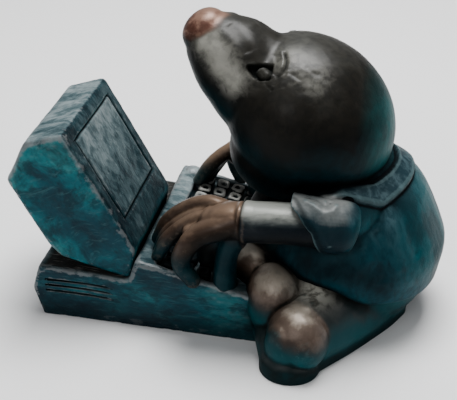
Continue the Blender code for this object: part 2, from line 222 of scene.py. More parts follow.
# How much metal surrounds each spot of the casting, on a grid of small cells. Where there
# is much, painted shade darkens the surface.
CELL = 1.5
CELLS_ROUND = 20
ROUND_REACH = 9.0
WIDE_REACH = 20.0
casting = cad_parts["mole_statue"]
casting_low, casting_high = (np.array(c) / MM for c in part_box("mole_statue"))
cells = np.ceil((casting_high - casting_low) / CELL).astype(int) + 2 * CELLS_ROUND
grid_low = casting_low - CELLS_ROUND * CELL
casting_tree = BVHTree.FromPolygons(
    [v.co for v in casting.data.vertices], [tuple(p.vertices) for p in casting.data.polygons]
)
filled = np.zeros(cells, np.float32)
for i in range(CELLS_ROUND, cells[0] - CELLS_ROUND + 1):
    for j in range(CELLS_ROUND, cells[1] - CELLS_ROUND + 1):
        x, y = grid_low[0] + (i + 0.5) * CELL, grid_low[1] + (j + 0.5) * CELL
        start = Vector((x * MM, y * MM, -0.01))
        inside, last = False, 0.0
        for bounce in range(24):
            hit = casting_tree.ray_cast(start, (0, 0, 1))[0]
            if hit is None:
                break
            top = (hit.z / MM - grid_low[2]) / CELL - 0.5
            if inside:
                filled[i, j, max(0, math.ceil(last)) : max(0, math.floor(top) + 1)] = 1
            inside, last = not inside, top
            start = Vector((hit.x, hit.y, hit.z + 2e-5))


def blurred(values, reach):
    """The share of metal within a reach of each cell."""
    half = max(1, round(reach / CELL))
    for passes in range(2):
        for axis in range(3):
            padded = np.concatenate(
                [np.zeros_like(np.take(values, [0], axis)), np.cumsum(values, axis, dtype=np.float64)], axis
            )
            count = values.shape[axis]
            high = np.clip(np.arange(count) + half + 1, 0, count)
            low = np.clip(np.arange(count) - half, 0, count)
            values = (np.take(padded, high, axis) - np.take(padded, low, axis)) / (2 * half + 1)
    return values.astype(np.float32)


metal_round = blurred(filled, ROUND_REACH)
metal_wide = blurred(filled, WIDE_REACH)


def metal_at(grid, places):
    """Reads a grid of metal shares at places drawn in millimetres."""
    spots = (places + (MIDDLE_SHIFT, 0, 0) - grid_low) / CELL - 0.5
    cell = np.clip(np.floor(spots).astype(int), 0, cells - 2)
    share = np.clip(spots - cell, 0, 1)
    total = np.zeros(len(places))
    for corner in np.ndindex(2, 2, 2):
        weight = np.prod(np.where(corner, share, 1 - share), axis=1)
        total += weight * grid[tuple((cell + corner).T)]
    return total


def paint(item, name, values):
    """Keeps one value for each point of a piece, for its patina and its painted light and shade."""
    layer = item.data.attributes.get(name) or item.data.attributes.new(name, "FLOAT", "POINT")
    layer.data.foreach_set("value", np.asarray(values, np.float32))


def bends(item, rounds):
    """How much a piece's surface bends: above 0 in a crease, under 0 on a ridge."""
    places, outward = read(item)
    pairs = np.empty(len(item.data.edges) * 2, np.int32)
    item.data.edges.foreach_get("vertices", pairs)
    one, other = pairs.reshape(-1, 2).T
    links = np.bincount(one, minlength=len(places)) + np.bincount(other, minlength=len(places))
    links = np.maximum(links, 1)

    def spread(values):
        total = np.bincount(one, values[other], len(places)) + np.bincount(other, values[one], len(places))
        return total / links

    soft = places.copy()
    for step in range(rounds):
        soft = np.stack([0.5 * soft[:, k] + 0.5 * spread(soft[:, k]) for k in range(3)], axis=1)
    bend = np.sum((soft - places) * outward, axis=1)
    for step in range(2):
        bend = 0.5 * bend + 0.5 * spread(bend)
    return bend


def weather(item, edge, crease, rounds, lift=None):
    """Works out where a piece is rubbed, where painted shade falls in its creases and under metal, and how
    far it faces the sky, which sets its painted light.
    """
    places, outward = read(item)
    bend = bends(item, rounds)
    round_about = metal_at(metal_round, places + outward * 3)
    above = metal_at(metal_wide, places + outward * 8 + (0, 0, 10))
    # Painted shade: darkest in creases and where much metal lies round or above a spot.
    hidden = ramp(round_about, 0.38, 0.68) * 0.8 + ramp(above, 0.26, 0.58) * 0.8
    paint(item, "painted_shade", np.clip(np.maximum(ramp(bend, *crease), hidden), 0, 1))
    paint(item, "edge", np.clip(ramp(-bend, *edge) * (1 - 0.8 * hidden), 0, 1))
    paint(item, "lift", np.clip(0.5 + 0.5 * outward[:, 2] if lift is None else lift, 0, 1))


def painted(item, name):
    """A value that was kept for each point of a piece."""
    values = np.empty(len(item.data.vertices), np.float32)
    item.data.attributes[name].data.foreach_get("value", values)
    return values


def shade(item, hollows):
    """Paints more shade into some hollows of a piece."""
    paint(item, "painted_shade", np.maximum(painted(item, "painted_shade"), np.clip(hollows, 0, 1)))


def place(item, material):
    """Gives a finished piece its patina and its place in the statue."""
    item.data.transform(Matrix.Translation((MIDDLE_SHIFT * MM, 0, 0)))
    item.data.materials.clear()
    item.data.materials.append(material)
    item.data.shade_smooth()
    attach(item, "root")


def put(tree, kind, inputs=None, **settings):
    """Adds a node to a finish, with its settings and what feeds its inputs."""
    node = tree.nodes.new("ShaderNode" + kind)
    for name, value in settings.items():
        setattr(node, name, value)
    for name, value in (inputs or {}).items():
        socket = node.inputs[name]
        if isinstance(value, bpy.types.NodeSocket):
            tree.links.new(value, socket)
        else:
            socket.default_value = value
    return node


def mix(tree, share, first, second):
    """One colour over another."""
    return put(tree, "Mix", {0: share, 6: first, 7: second}, data_type="RGBA").outputs[2]


def sums(tree, operation, *values):
    """One step of arithmetic on masks."""
    node = put(tree, "Math", dict(enumerate(values)), operation=operation)
    return node.outputs[0]


def span(tree, value, start, end, low=0.0, high=1.0):
    """Spreads a mask between two limits softly."""
    node = put(
        tree,
        "MapRange",
        {"Value": value, "From Min": start, "From Max": end, "To Min": low, "To Max": high},
        interpolation_type="SMOOTHSTEP",
    )
    return node.outputs["Result"]


def noise(tree, place, scale, detail, roughness=0.5):
    """A cloudy pattern."""
    inputs = {"Vector": place, "Scale": scale, "Detail": detail, "Roughness": roughness}
    return put(tree, "TexNoise", inputs)


def new_group(name, inputs, outputs):
    """An effect shared by several finishes, with named inputs and outputs."""
    group = bpy.data.node_groups.new(name, "ShaderNodeTree")
    for label, kind, value in inputs:
        socket = group.interface.new_socket(label, in_out="INPUT", socket_type=kind)
        if value is not None:
            socket.default_value = value
    for label in outputs:
        group.interface.new_socket(label, in_out="OUTPUT", socket_type="NodeSocketFloat")
    return group, group.nodes.new("NodeGroupInput"), group.nodes.new("NodeGroupOutput")


# Blotches and dry-brushed strokes of patina
blotches, given, result = new_group(
    "patina_blotches",
    [
        ("Vector", "NodeSocketVector", None),
        ("Blotch Scale", "NodeSocketFloat", 40.0),
        ("Stroke Scale", "NodeSocketFloat", 260.0),
    ],
    ("Blotches", "Strokes", "Scratches", "Specks"),
)
warp = noise(blotches, given.outputs["Vector"], 55.0, 2.0)
bent = put(
    blotches,
    "VectorMath",
    {0: warp.outputs["Color"], 1: (0.012, 0.012, 0.012), 2: given.outputs["Vector"]},
    operation="MULTIPLY_ADD",
).outputs[0]
broad = noise(blotches, bent, given.outputs["Blotch Scale"], 5.0, 0.62)
stroke = noise(blotches, bent, given.outputs["Stroke Scale"], 4.0, 0.6)
drag = put(blotches, "VectorMath", {0: bent, 1: (0.16, 1.0, 1.0)}, operation="MULTIPLY").outputs[0]
scratch = noise(blotches, drag, 620.0, 4.0, 0.62)
speck = noise(blotches, given.outputs["Vector"], 900.0, 3.0, 0.7)
for label, pattern, start, end in (
    ("Blotches", broad, 0.36, 0.64),
    ("Strokes", stroke, 0.40, 0.66),
    ("Scratches", scratch, 0.55, 0.68),
    ("Specks", speck, 0.35, 0.70),
):
    blotches.links.new(span(blotches, pattern.outputs["Fac"], start, end), result.inputs[label])

# Metal rubbed bright along ridges, broken up as a dry brush leaves it
rubbed, given, result = new_group(
    "rubbed_ridges",
    [
        ("Edge", "NodeSocketFloat", 0.0),
        ("Vector", "NodeSocketVector", None),
        ("Break Up", "NodeSocketFloat", 0.6),
    ],
    ("Rub",),
)
wear_and_painted_highlight = noise(rubbed, given.outputs["Vector"], 320.0, 4.0, 0.65)
loss = sums(rubbed, "MULTIPLY", span(rubbed, wear_and_painted_highlight.outputs["Fac"], 0.35, 0.68), given.outputs["Break Up"])
rubbed.links.new(
    span(rubbed, sums(rubbed, "SUBTRACT", given.outputs["Edge"], loss), 0.02, 0.55), result.inputs["Rub"]
)

# The fine grain of a cast skin under its patina
grain, given, result = new_group(
    "cast_grain",
    [("Vector", "NodeSocketVector", None), ("Grain Scale", "NodeSocketFloat", 700.0)],
    ("Height",),
)
fine = noise(grain, given.outputs["Vector"], given.outputs["Grain Scale"], 5.0, 0.6)
broad = noise(grain, given.outputs["Vector"], 130.0, 3.0)
grain.links.new(
    sums(grain, "MULTIPLY_ADD", broad.outputs["Fac"], 1.6, fine.outputs["Fac"]), result.inputs["Height"]
)


class Finish:
    """A patina on the casting: the shared effects, ready to be mixed in one material."""

    def __init__(self, name, blotch_scale, stroke_scale, stretch=(1, 1, 1), turn=(0, 0, 0)):
        self.material = bpy.data.materials.new(name)
        self.material.use_nodes = True
        self.tree = self.material.node_tree
        self.surface = self.tree.nodes["Principled BSDF"]
        self.surface.inputs["Specular IOR Level"].default_value = 0.05
        self.surface.inputs["Coat Roughness"].default_value = 0.30
        self.place = put(self.tree, "TexCoord").outputs["Object"]
        self.drawn = put(
            self.tree,
            "Mapping",
            {"Vector": self.place, "Scale": stretch, "Rotation": [math.radians(a) for a in turn]},
        ).outputs[0]
        scales = {"Vector": self.drawn, "Blotch Scale": blotch_scale, "Stroke Scale": stroke_scale}
        self.patina = self.effect("patina_blotches", scales)

    def mask(self, name):
        """A value kept at the points of the piece."""
        return put(self.tree, "Attribute", attribute_name=name).outputs["Fac"]

    def effect(self, name, inputs):
        """Places a shared effect in this material."""
        node = self.tree.nodes.new("ShaderNodeGroup")
        node.node_tree = bpy.data.node_groups[name]
        for label, value in inputs.items():
            if isinstance(value, bpy.types.NodeSocket):
                self.tree.links.new(value, node.inputs[label])
            else:
                node.inputs[label].default_value = value
        return node.outputs

    def tones(self, value, *stops):
        """Colours along a mask, from low to high."""
        node = put(self.tree, "ValToRGB", {"Fac": value})
        elements = node.color_ramp.elements
        while len(elements) < len(stops):
            elements.new(0.5)
        for element, (position, colour) in zip(elements, stops):
            element.position = position
            element.color = (*colour, 1)
        return node.outputs["Color"]

    def finish(self, colour, roughness, metallic, sheen, grain_scale=600.0, bump=0.3, depth=0.0005):
        """Feeds the surface. The sheen is the wax that is polished on the open parts."""
        height = self.effect("cast_grain", {"Vector": self.place, "Grain Scale": grain_scale})["Height"]
        raised = put(self.tree, "Bump", {"Height": height, "Strength": bump, "Distance": depth})
        self.tree.links.new(colour, self.surface.inputs["Base Color"])
        self.tree.links.new(roughness, self.surface.inputs["Roughness"])
        self.tree.links.new(metallic, self.surface.inputs["Metallic"])
        self.tree.links.new(sheen, self.surface.inputs["Coat Weight"])
        self.tree.links.new(raised.outputs["Normal"], self.surface.inputs["Normal"])
        return self.material

    def over(self, colour, mask, strength, tone):
        """Lays a tone over a colour, as strongly as a mask says."""
        return mix(self.tree, sums(self.tree, "MULTIPLY", mask, strength), colour, (*tone, 1))

    def aged(self, colour, lift, break_up, bright, dark, wax, dull, metal, wax_area=None, **grain):
        """Rubs the ridges, paints shade into the hollows and hidden spots, waxes what is open and feeds the
        surface.

        bright is the strength and tone of the rubbed ridges, dark those of the painted shade, wax is its
        start and end on the open parts and its least and most, and dull is the least and most roughness.
        """
        given = {"Edge": self.mask("edge"), "Vector": self.place, "Break Up": break_up}
        colour = self.over(colour, self.effect("rubbed_ridges", given)["Rub"], *bright)
        painted_shade = self.mask("painted_shade")
        # Painted shade: the hollows and hidden spots darken towards the dark tone.
        colour = self.over(colour, painted_shade, *dark)
        sheen = span(self.tree, sums(self.tree, "SUBTRACT", lift, painted_shade), *wax)
        if wax_area is not None:
            sheen = sums(self.tree, "MULTIPLY", sheen, wax_area)
        brushed = sums(self.tree, "MULTIPLY_ADD", self.patina["Strokes"], 0.3, painted_shade)
        return self.finish(colour, span(self.tree, brushed, 0.0, 1.2, *dull), metal, sheen, **grain)


def verdigris(name, side_tones, stretch=(1, 1, 1), turn=(0, 0, 0)):
    """The computer's finish: teal verdigris on its sides, brushed grey on the faces that look up."""
    coat = Finish(name, 40.0, 165.0, stretch, turn)
    blots = coat.patina["Blotches"]
    strokes = coat.patina["Strokes"]
    scratches = coat.patina["Scratches"]
    painted_shade = coat.mask("painted_shade")
    teal = coat.tones(blots, *side_tones)
    teal = coat.over(teal, strokes, 0.75, (0.001, 0.012, 0.020))
    teal = coat.over(teal, scratches, 0.35, (0.035, 0.120, 0.135))
    brushed = sums(coat.tree, "MULTIPLY_ADD", strokes, -0.34, coat.mask("pale"))
    brushed = sums(coat.tree, "MULTIPLY_ADD", blots, 0.34, brushed)
    brushed = sums(coat.tree, "MULTIPLY_ADD", scratches, 0.16, brushed)
    silver = coat.tones(
        brushed,
        (0.0, (0.003, 0.010, 0.014)),
        (0.25, (0.010, 0.030, 0.037)),
        (0.55, (0.058, 0.090, 0.098)),
        (1.0, (0.215, 0.262, 0.270)),
    )
    high = span(coat.tree, sums(coat.tree, "MULTIPLY_ADD", blots, 0.10, coat.mask("lift")), 0.58, 0.74)
    colour = mix(coat.tree, high, teal, silver)
    # Painted shade near the ground: the case darkens towards its foot.
    colour = coat.over(colour, coat.mask("foot"), 0.85, (0.001, 0.004, 0.007))
    # The shelf under the monitor is painted dark as the monitor's shade, with pale streaks over it.
    streaks = mix(coat.tree, scratches, (0.016, 0.014, 0.012, 1), (0.160, 0.150, 0.138, 1))
    colour = mix(coat.tree, sums(coat.tree, "MULTIPLY", coat.mask("shelf"), 0.95), colour, streaks)
    open_edge = sums(coat.tree, "SUBTRACT", coat.mask("edge"), coat.mask("foot"))
    rub = coat.effect("rubbed_ridges", {"Edge": open_edge, "Vector": coat.drawn, "Break Up": 1.0})["Rub"]
    colour = coat.over(colour, rub, 0.6, (0.155, 0.165, 0.170))
    # Painted shade darkens the hollows and hidden spots of the computer.
    colour = coat.over(colour, painted_shade, 0.95, (0.001, 0.003, 0.004))
    roughness = span(coat.tree, sums(coat.tree, "MULTIPLY_ADD", strokes, 0.3, painted_shade), 0.0, 1.2, 0.45, 0.75)
    metallic = sums(coat.tree, "MULTIPLY_ADD", rub, 0.3, 0.02)
    sheen = sums(coat.tree, "MULTIPLY", sums(coat.tree, "SUBTRACT", 1.0, painted_shade), 0.10)
    return coat.finish(colour, roughness, metallic, sheen, grain_scale=520.0, bump=0.6, depth=0.0006)


def set_out(piece, rule_name, inputs, nodes, links, **settings):
    """Repeats a shape by a tree of geometry nodes and makes the result one plain mesh.

    A link names a node and its output, then the node and the input that it feeds.
    """
    tree = bpy.data.node_groups.new(rule_name, "GeometryNodeTree")
    tree.interface.new_socket("Geometry", in_out="INPUT", socket_type="NodeSocketGeometry")
    wanted = {}
    for label, kind, value in inputs:
        socket = tree.interface.new_socket(label, in_out="INPUT", socket_type="NodeSocket" + kind)
        wanted[socket.identifier] = value
    tree.interface.new_socket("Geometry", in_out="OUTPUT", socket_type="NodeSocketGeometry")
    made = {"given": tree.nodes.new("NodeGroupInput"), "result": tree.nodes.new("NodeGroupOutput")}
    for label, kind in nodes.items():
        made[label] = tree.nodes.new(kind)
    for label, (setting, value) in settings.items():
        setattr(made[label], setting, value)
    for start, end in links:
        source, output = start.split("/")
        target, entry = end.split("/")
        tree.links.new(made[source].outputs[output], made[target].inputs[entry])
    item = bpy.data.objects.new(piece, bpy.data.meshes.new(piece))
    bpy.context.scene.collection.objects.link(item)
    rule = item.modifiers.new(rule_name, "NODES")
    rule.node_group = tree
    for identifier, value in wanted.items():
        rule[identifier] = value
    settle(item)
    return item


def vent_blades(side):
    """A row of flat blades, one above the other, for the slots in one side of the case."""
    blade = prism(
        "vent_blade",
        [
            (0, -VENT_HEIGHT * 0.5),
            (0.7, -VENT_HEIGHT * 0.85),
            (2.5, -VENT_HEIGHT),
            (VENT_LENGTH * 0.6, -VENT_HEIGHT),
            (VENT_LENGTH * 0.9, -VENT_HEIGHT - 0.5),
            (VENT_LENGTH, -VENT_HEIGHT - 0.9),
            (VENT_LENGTH * 0.9, -0.9),
            (VENT_LENGTH * 0.6, 0),
            (2.5, 0),
            (0.7, -VENT_HEIGHT * 0.15),
        ],
        -VENT_DEPTH,
        VENT_DEPTH,
    )
    blades = set_out(
        "vent_blades",
        "vent_row",
        (
            ("Blade", "Object", blade),
            ("Count", "Int", VENT_COUNT),
            ("Top", "Vector", (VENT_REAR_X * MM, side * CASE_WIDTH / 2 * MM, VENT_TOP_Z * MM)),
            ("Pitch", "Vector", (0, 0, -VENT_PITCH * MM)),
        ),
        {
            "row": "GeometryNodeMeshLine",
            "shape": "GeometryNodeObjectInfo",
            "spread": "GeometryNodeInstanceOnPoints",
            "real": "GeometryNodeRealizeInstances",
            "coat": "GeometryNodeSetMaterial",
        },
        (
            ("given/Blade", "shape/Object"),
            ("given/Count", "row/Count"),
            ("given/Top", "row/Start Location"),
            ("given/Pitch", "row/Offset"),
            ("row/Mesh", "spread/Points"),
            ("shape/Geometry", "spread/Instance"),
            ("spread/Instances", "real/Geometry"),
            ("real/Geometry", "coat/Geometry"),
            ("coat/Geometry", "result/Geometry"),
        ),
    )
    bpy.data.objects.remove(blade)
    return blades


case = prism(
    "computer_case",
    [
        (CASE_REAR_X + 2, -6),
        (CASE_REAR_X - CASE_REAR_BULGE, CASE_HEIGHT * 0.52),
        (CASE_REAR_X, CASE_HEIGHT),
        (KEYBOARD_REAR_X - 6, CASE_HEIGHT - SHELF_DIP),
        (KEYBOARD_REAR_X, KEYBOARD_REAR_HEIGHT),
        (KEYBOARD_FRONT_X, KEYBOARD_FRONT_HEIGHT),
        (KEYBOARD_FRONT_X, -6),
    ],
    -CASE_WIDTH / 2,
    CASE_WIDTH / 2,
    CASE_EDGE,
)
well_front_x = KEY_WELL_REAR_X + KEY_WELL_LENGTH
combine(
    case,
    prism(
        "well",
        [
            (KEY_WELL_REAR_X, rim_height(KEY_WELL_REAR_X) - KEY_WELL_DEPTH),
            (KEY_WELL_REAR_X, rim_height(KEY_WELL_REAR_X) + 9),
            (well_front_x, rim_height(well_front_x) + 9),
            (well_front_x, rim_height(well_front_x) - KEY_WELL_DEPTH),
        ],
        -CASE_WIDTH / 2 + KEYBOARD_RIM,
        CASE_WIDTH / 2 - KEYBOARD_RIM,
    ),
    "DIFFERENCE",
)
bump_x = KEYBOARD_REAR_X + DECK_BUMP_RADIUS
bump = ball(
    "bump",
    (bump_x, CASE_WIDTH / 2 - DECK_BUMP_RADIUS, rim_height(bump_x) - 2),
    (DECK_BUMP_RADIUS, DECK_BUMP_RADIUS - 0.5, DECK_BUMP_RISE + 2),
)
case = one_skin("computer_case", [case, bump], voxel=0.95, soften_steps=2)
flat_underside(case)
places, outward = read(case)
uneven = 0.45 * lumps(places, 26, 3) + 0.22 * lumps(places * (0.35, 1, 1), 6, 4)
uneven += 0.10 * lumps(places, 2.6, 5)
ridge = ramp(-bends(case, 12), 0.15, 0.6)
uneven -= ridge * ramp(lumps(places, 5, 6), 0.1, 0.8) * 0.7
moved = places + outward * (np.minimum(uneven, 0.5) - 0.35)[:, None]
moved[:, 2] = np.where(places[:, 2] < 0.01, 0, np.maximum(moved[:, 2], 0))
move(case, moved)
for side in (-1, 1):
    combine(case, vent_blades(side), "DIFFERENCE")
places, outward = read(case)
weather(case, edge=(0.05, 0.30), crease=(0.04, 0.30), rounds=18)
slots = ramp(np.abs(places[:, 1]), CASE_WIDTH / 2 - 0.9, CASE_WIDTH / 2 - 1.5)
slots *= ramp(places[:, 2], VENT_TOP_Z + 1, VENT_TOP_Z + 0.5) * ramp(places[:, 2], 12, 14)
vent_length = ramp(places[:, 0], VENT_REAR_X - 1, VENT_REAR_X)
vent_length *= ramp(places[:, 0], KEYBOARD_REAR_X - 4, KEYBOARD_REAR_X - 8)
shade(case, slots * vent_length)
shelf = ramp(places[:, 0], KEYBOARD_REAR_X + 1, KEYBOARD_REAR_X - 2) * ramp(outward[:, 2], 0.45, 0.75)
shelf *= ramp(places[:, 2], 33, 35) * ramp(np.abs(places[:, 1]), CASE_WIDTH / 2 - 1, CASE_WIDTH / 2 - 4)
paint(case, "shelf", shelf * ramp(places[:, 0], CASE_REAR_X + 2, CASE_REAR_X + 6))
# The foot mask is painted shade near the ground.
paint(case, "foot", ramp(places[:, 2], 24, 4) * 0.8)
on_deck = ramp(places[:, 0], KEYBOARD_REAR_X, KEYBOARD_REAR_X + 4) * ramp(outward[:, 2], 0.5, 0.8)
on_deck *= ramp(places[:, 2], rim_height(places[:, 0]) - 2.5, rim_height(places[:, 0]) - 1)
# Less painted shade on the open deck and on the shelf, which has its own painted dark.
paint(case, "painted_shade", painted(case, "painted_shade") * (1 - 0.55 * on_deck) * (1 - 0.85 * shelf))
on_bump = ramp(np.hypot(places[:, 0] - bump_x, places[:, 1] - CASE_WIDTH / 2 + DECK_BUMP_RADIUS), 10, 7)
far_off = ramp(places[:, 1], -20, 62)
paint(case, "pale", 0.46 + 0.20 * far_off + 0.5 * on_bump * ramp(places[:, 2], 54, 57))
case_finish = verdigris(
    "verdigris_case",
    (
        (0.0, (0.001, 0.022, 0.034)),
        (0.35, (0.001, 0.042, 0.058)),
        (0.7, (0.002, 0.058, 0.074)),
        (1.0, (0.005, 0.100, 0.115)),
    ),
    (0.45, 1.0, 1.0),
)
place(case, case_finish)
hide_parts("mole_statue")


# The keys stand in rows in the sunken well of the deck. They are small cushions of wax,
# pressed on by hand, so that none stands quite like the next. Their tops are rubbed pale;
# their sides and dished middles, and the keys under the hands, are painted dark as shade.

KEY_ROWS = 4
KEY_COLUMNS = 10
KEY_GAP = 2.0
KEY_HEIGHT = 4.6
KEY_SIDES = 24
KEY_LEAN = 0.12


def key_cushion():
    """One key: a square cushion with a dished top and rounded edges."""
    row_pitch = (KEY_WELL_LENGTH - KEY_GAP) / KEY_ROWS
    column_pitch = (CASE_WIDTH - 2 * KEYBOARD_RIM - KEY_GAP) / KEY_COLUMNS
    half_x = (row_pitch - KEY_GAP) / 2
    half_y = (column_pitch - KEY_GAP) / 2
    rings = []
    bm = bmesh.new()
    for share, height in (
        (0.60, -2.0),
        (1.0, -1.6),
        (1.0, 2.2),
        (0.94, 3.6),
        (0.80, 4.5),
        (0.60, KEY_HEIGHT),
        (0.46, 3.7),
        (0.2, 3.3),
    ):
        ring = []
        for k in range(KEY_SIDES):
            angle = 2 * math.pi * (k + 0.5) / KEY_SIDES
            power = 0.42 if share > 0.7 else 0.8
            c, s = math.cos(angle), math.sin(angle)
            x = half_x * share * math.copysign(abs(c) ** power, c)
            y = half_y * share * math.copysign(abs(s) ** power, s)
            ring.append(bm.verts.new((x * MM, y * MM, height * MM)))
        rings.append(ring)
    for lower, upper in zip(rings, rings[1:]):
        for k in range(KEY_SIDES):
            after = (k + 1) % KEY_SIDES
            bm.faces.new((lower[k], lower[after], upper[after], upper[k]))
    bm.faces.new(rings[0][::-1])
    bm.faces.new(rings[-1])
    return new_object("key_cushion", bm), row_pitch, column_pitch


cushion, row_pitch, column_pitch = key_cushion()
slope = math.atan2(KEYBOARD_REAR_HEIGHT - KEYBOARD_FRONT_HEIGHT, KEYBOARD_FRONT_X - KEYBOARD_REAR_X)
centre_x = KEY_WELL_REAR_X + KEY_WELL_LENGTH / 2
coat = Finish("worn_keys", 60.0, 240.0)
keys = set_out(
    "keys",
    "key_rows",
    (
        ("Key", "Object", cushion),
        ("Rows", "Int", KEY_ROWS),
        ("Columns", "Int", KEY_COLUMNS),
        ("Length", "Float", row_pitch * (KEY_ROWS - 1) * MM),
        ("Width", "Float", column_pitch * (KEY_COLUMNS - 1) * MM),
        ("Middle", "Vector", (centre_x * MM, 0, (rim_height(centre_x) - KEY_WELL_DEPTH) * MM)),
        ("Slope", "Vector", (0, slope, 0)),
        ("Least Lean", "Vector", [-KEY_LEAN] * 3),
        ("Most Lean", "Vector", [KEY_LEAN] * 3),
        ("Seed", "Int", 7),
        ("Finish", "Material", coat.material),
    ),
    {
        "deck": "GeometryNodeMeshGrid",
        "shape": "GeometryNodeObjectInfo",
        "lean": "FunctionNodeRandomValue",
        "spread": "GeometryNodeInstanceOnPoints",
        "tilt": "GeometryNodeTransform",
        "real": "GeometryNodeRealizeInstances",
        "coat": "GeometryNodeSetMaterial",
    },
    (
        ("given/Length", "deck/Size X"),
        ("given/Width", "deck/Size Y"),
        ("given/Rows", "deck/Vertices X"),
        ("given/Columns", "deck/Vertices Y"),
        ("given/Key", "shape/Object"),
        ("given/Least Lean", "lean/Min"),
        ("given/Most Lean", "lean/Max"),
        ("given/Seed", "lean/Seed"),
        ("deck/Mesh", "spread/Points"),
        ("shape/Geometry", "spread/Instance"),
        ("lean/Value", "spread/Rotation"),
        ("spread/Instances", "tilt/Geometry"),
        ("given/Middle", "tilt/Translation"),
        ("given/Slope", "tilt/Rotation"),
        ("tilt/Geometry", "real/Geometry"),
        ("real/Geometry", "coat/Geometry"),
        ("given/Finish", "coat/Material"),
        ("coat/Geometry", "result/Geometry"),
    ),
    lean=("data_type", "FLOAT_VECTOR"),
)
bpy.data.objects.remove(cushion)
places, outward = read(keys)
level = (places[:, 2] - (rim_height(places[:, 0]) - KEY_WELL_DEPTH)) / KEY_HEIGHT
# Painted shade: only the keys between the hands keep pale tops, the rest are painted dark as the hands'
# shade.
between_hands = ramp(places[:, 1], -34, -22) * ramp(places[:, 0], 6, -14)
paint(keys, "level", ramp(level, 0.70, 0.97) * (0.06 + 0.94 * between_hands))
pale = coat.tones(coat.patina["Blotches"], (0.0, (0.15, 0.155, 0.145)), (1.0, (0.36, 0.355, 0.33)))
top = sums(coat.tree, "MULTIPLY_ADD", coat.patina["Strokes"], -0.35, coat.mask("level"))
colour = mix(coat.tree, span(coat.tree, top, 0.05, 0.6), (0.002, 0.005, 0.006, 1), pale)
place(
    keys,
    coat.finish(
        colour,
        span(coat.tree, coat.patina["Specks"], 0.0, 1.0, 0.45, 0.65),
        span(coat.tree, coat.mask("level"), 0.0, 1.0, 0.05, 0.15),
        sums(coat.tree, "MULTIPLY", coat.mask("level"), 0.5),
    ),
)


# The monitor leans back on the case. It is a block of the same casting, with a line cut
# round its screen. Its front and top are brushed pale, its sides keep their green patina.

MONITOR_WIDTH = 94.0
MONITOR_NEAR_Y = -66.0
MONITOR_HEIGHT = 96.0
MONITOR_DEPTH = 58.0
MONITOR_TILT = 29.0
MONITOR_FRONT_X = -59.0
MONITOR_CHIN = 23.0
MONITOR_EDGE = 3.4
SCREEN_MARGIN_TOP = 11.0
SCREEN_MARGIN_SIDE = 12.0
SCREEN_MARGIN_BOTTOM = 20.0
SCREEN_LINE_WIDTH = 1.7
SCREEN_LINE_DEPTH = 1.4

tilt_angle = math.radians(MONITOR_TILT)
up = np.array([-math.sin(tilt_angle), math.cos(tilt_angle)])
back = np.array([-math.cos(tilt_angle), -math.sin(tilt_angle)])
foot = np.array([MONITOR_FRONT_X - 2.0, CASE_HEIGHT - SHELF_DIP - 4])
chin = np.array([MONITOR_FRONT_X + 3.0, CASE_HEIGHT - SHELF_DIP + MONITOR_CHIN])
top = chin + up * MONITOR_HEIGHT
crown = top + back * 29 + up * 5.5
rear = top + back * MONITOR_DEPTH - up * 14
heel = rear - up * 56
toe = heel + np.array([8.0, -8.0])
near_y = MONITOR_NEAR_Y
far_y = near_y + MONITOR_WIDTH
outline = [tuple(p) for p in (foot, chin, top, crown, rear, heel, toe)]
block = prism("monitor", outline, near_y, far_y, MONITOR_EDGE)
monitor = one_skin("monitor", [block], voxel=0.76, soften_steps=3)
places, outward = read(monitor)
front = np.stack([places[:, 1], (places[:, [0, 2]] - chin) @ up], axis=1)
ahead = (places[:, [0, 2]] - chin) @ -back
screen_width = MONITOR_WIDTH - 2 * SCREEN_MARGIN_SIDE
screen_height = MONITOR_HEIGHT - SCREEN_MARGIN_TOP - SCREEN_MARGIN_BOTTOM
half_size = np.array([screen_width / 2, screen_height / 2])
screen_middle = np.array([(near_y + far_y) / 2, SCREEN_MARGIN_BOTTOM + half_size[1]])
from_line = np.abs(front - screen_middle) - half_size
from_line += 0.35 * lumps(places, 14, 11)[:, None]
from_line = np.max(from_line, axis=1)
on_front = ramp(ahead, -3, -1.5)
line = np.exp(-((from_line / (SCREEN_LINE_WIDTH * 0.55)) ** 2)) * on_front
uneven = 0.5 * lumps(places, 24, 12) + 0.2 * lumps(places, 7, 13)
uneven += 0.1 * lumps(places * (1, 0.4, 1), 2.4, 14)
ridge = ramp(-bends(monitor, 13), 0.15, 0.6)
uneven -= ridge * ramp(lumps(places, 5, 15), 0.0, 0.8) * 0.9
dish = -0.5 * ramp(-from_line, 1.0, 14) * on_front
moved = places + outward * (np.minimum(uneven, 0.5) - 0.35 + dish - line * SCREEN_LINE_DEPTH)[:, None]
move(monitor, moved)
weather(monitor, edge=(0.05, 0.34), crease=(0.04, 0.3), rounds=20)
# Painted shade in the line cut round the screen.
shade(monitor, line * 0.95)
looks_ahead = ramp(outward[:, [0, 2]] @ -back, 0.5, 0.85)
panel = ramp(-from_line, 0.0, 1.0)
upper = ramp(front[:, 1], 10, MONITOR_HEIGHT)
pale = (1 - looks_ahead) * 0.60 + looks_ahead * (0.12 + panel * (0.16 + 0.28 * upper))
paint(monitor, "pale", pale)
paint(monitor, "shelf", np.zeros(len(places)))
paint(monitor, "foot", np.zeros(len(places)))
monitor_finish = verdigris(
    "verdigris_monitor",
    (
        (0.0, (0.001, 0.034, 0.050)),
        (0.35, (0.001, 0.070, 0.090)),
        (0.7, (0.003, 0.115, 0.135)),
        (1.0, (0.012, 0.165, 0.178)),
    ),
    (0.5, 1.0, 0.5),
    (0, 30, 0),
)
place(monitor, monitor_finish)


# The mole's rump, legs and big feet. They are the heaviest part of the casting. The toes
# and the top of the foot are rubbed to bronze, with a painted highlight on the toes' tops,
# and the flanks keep a green patina.

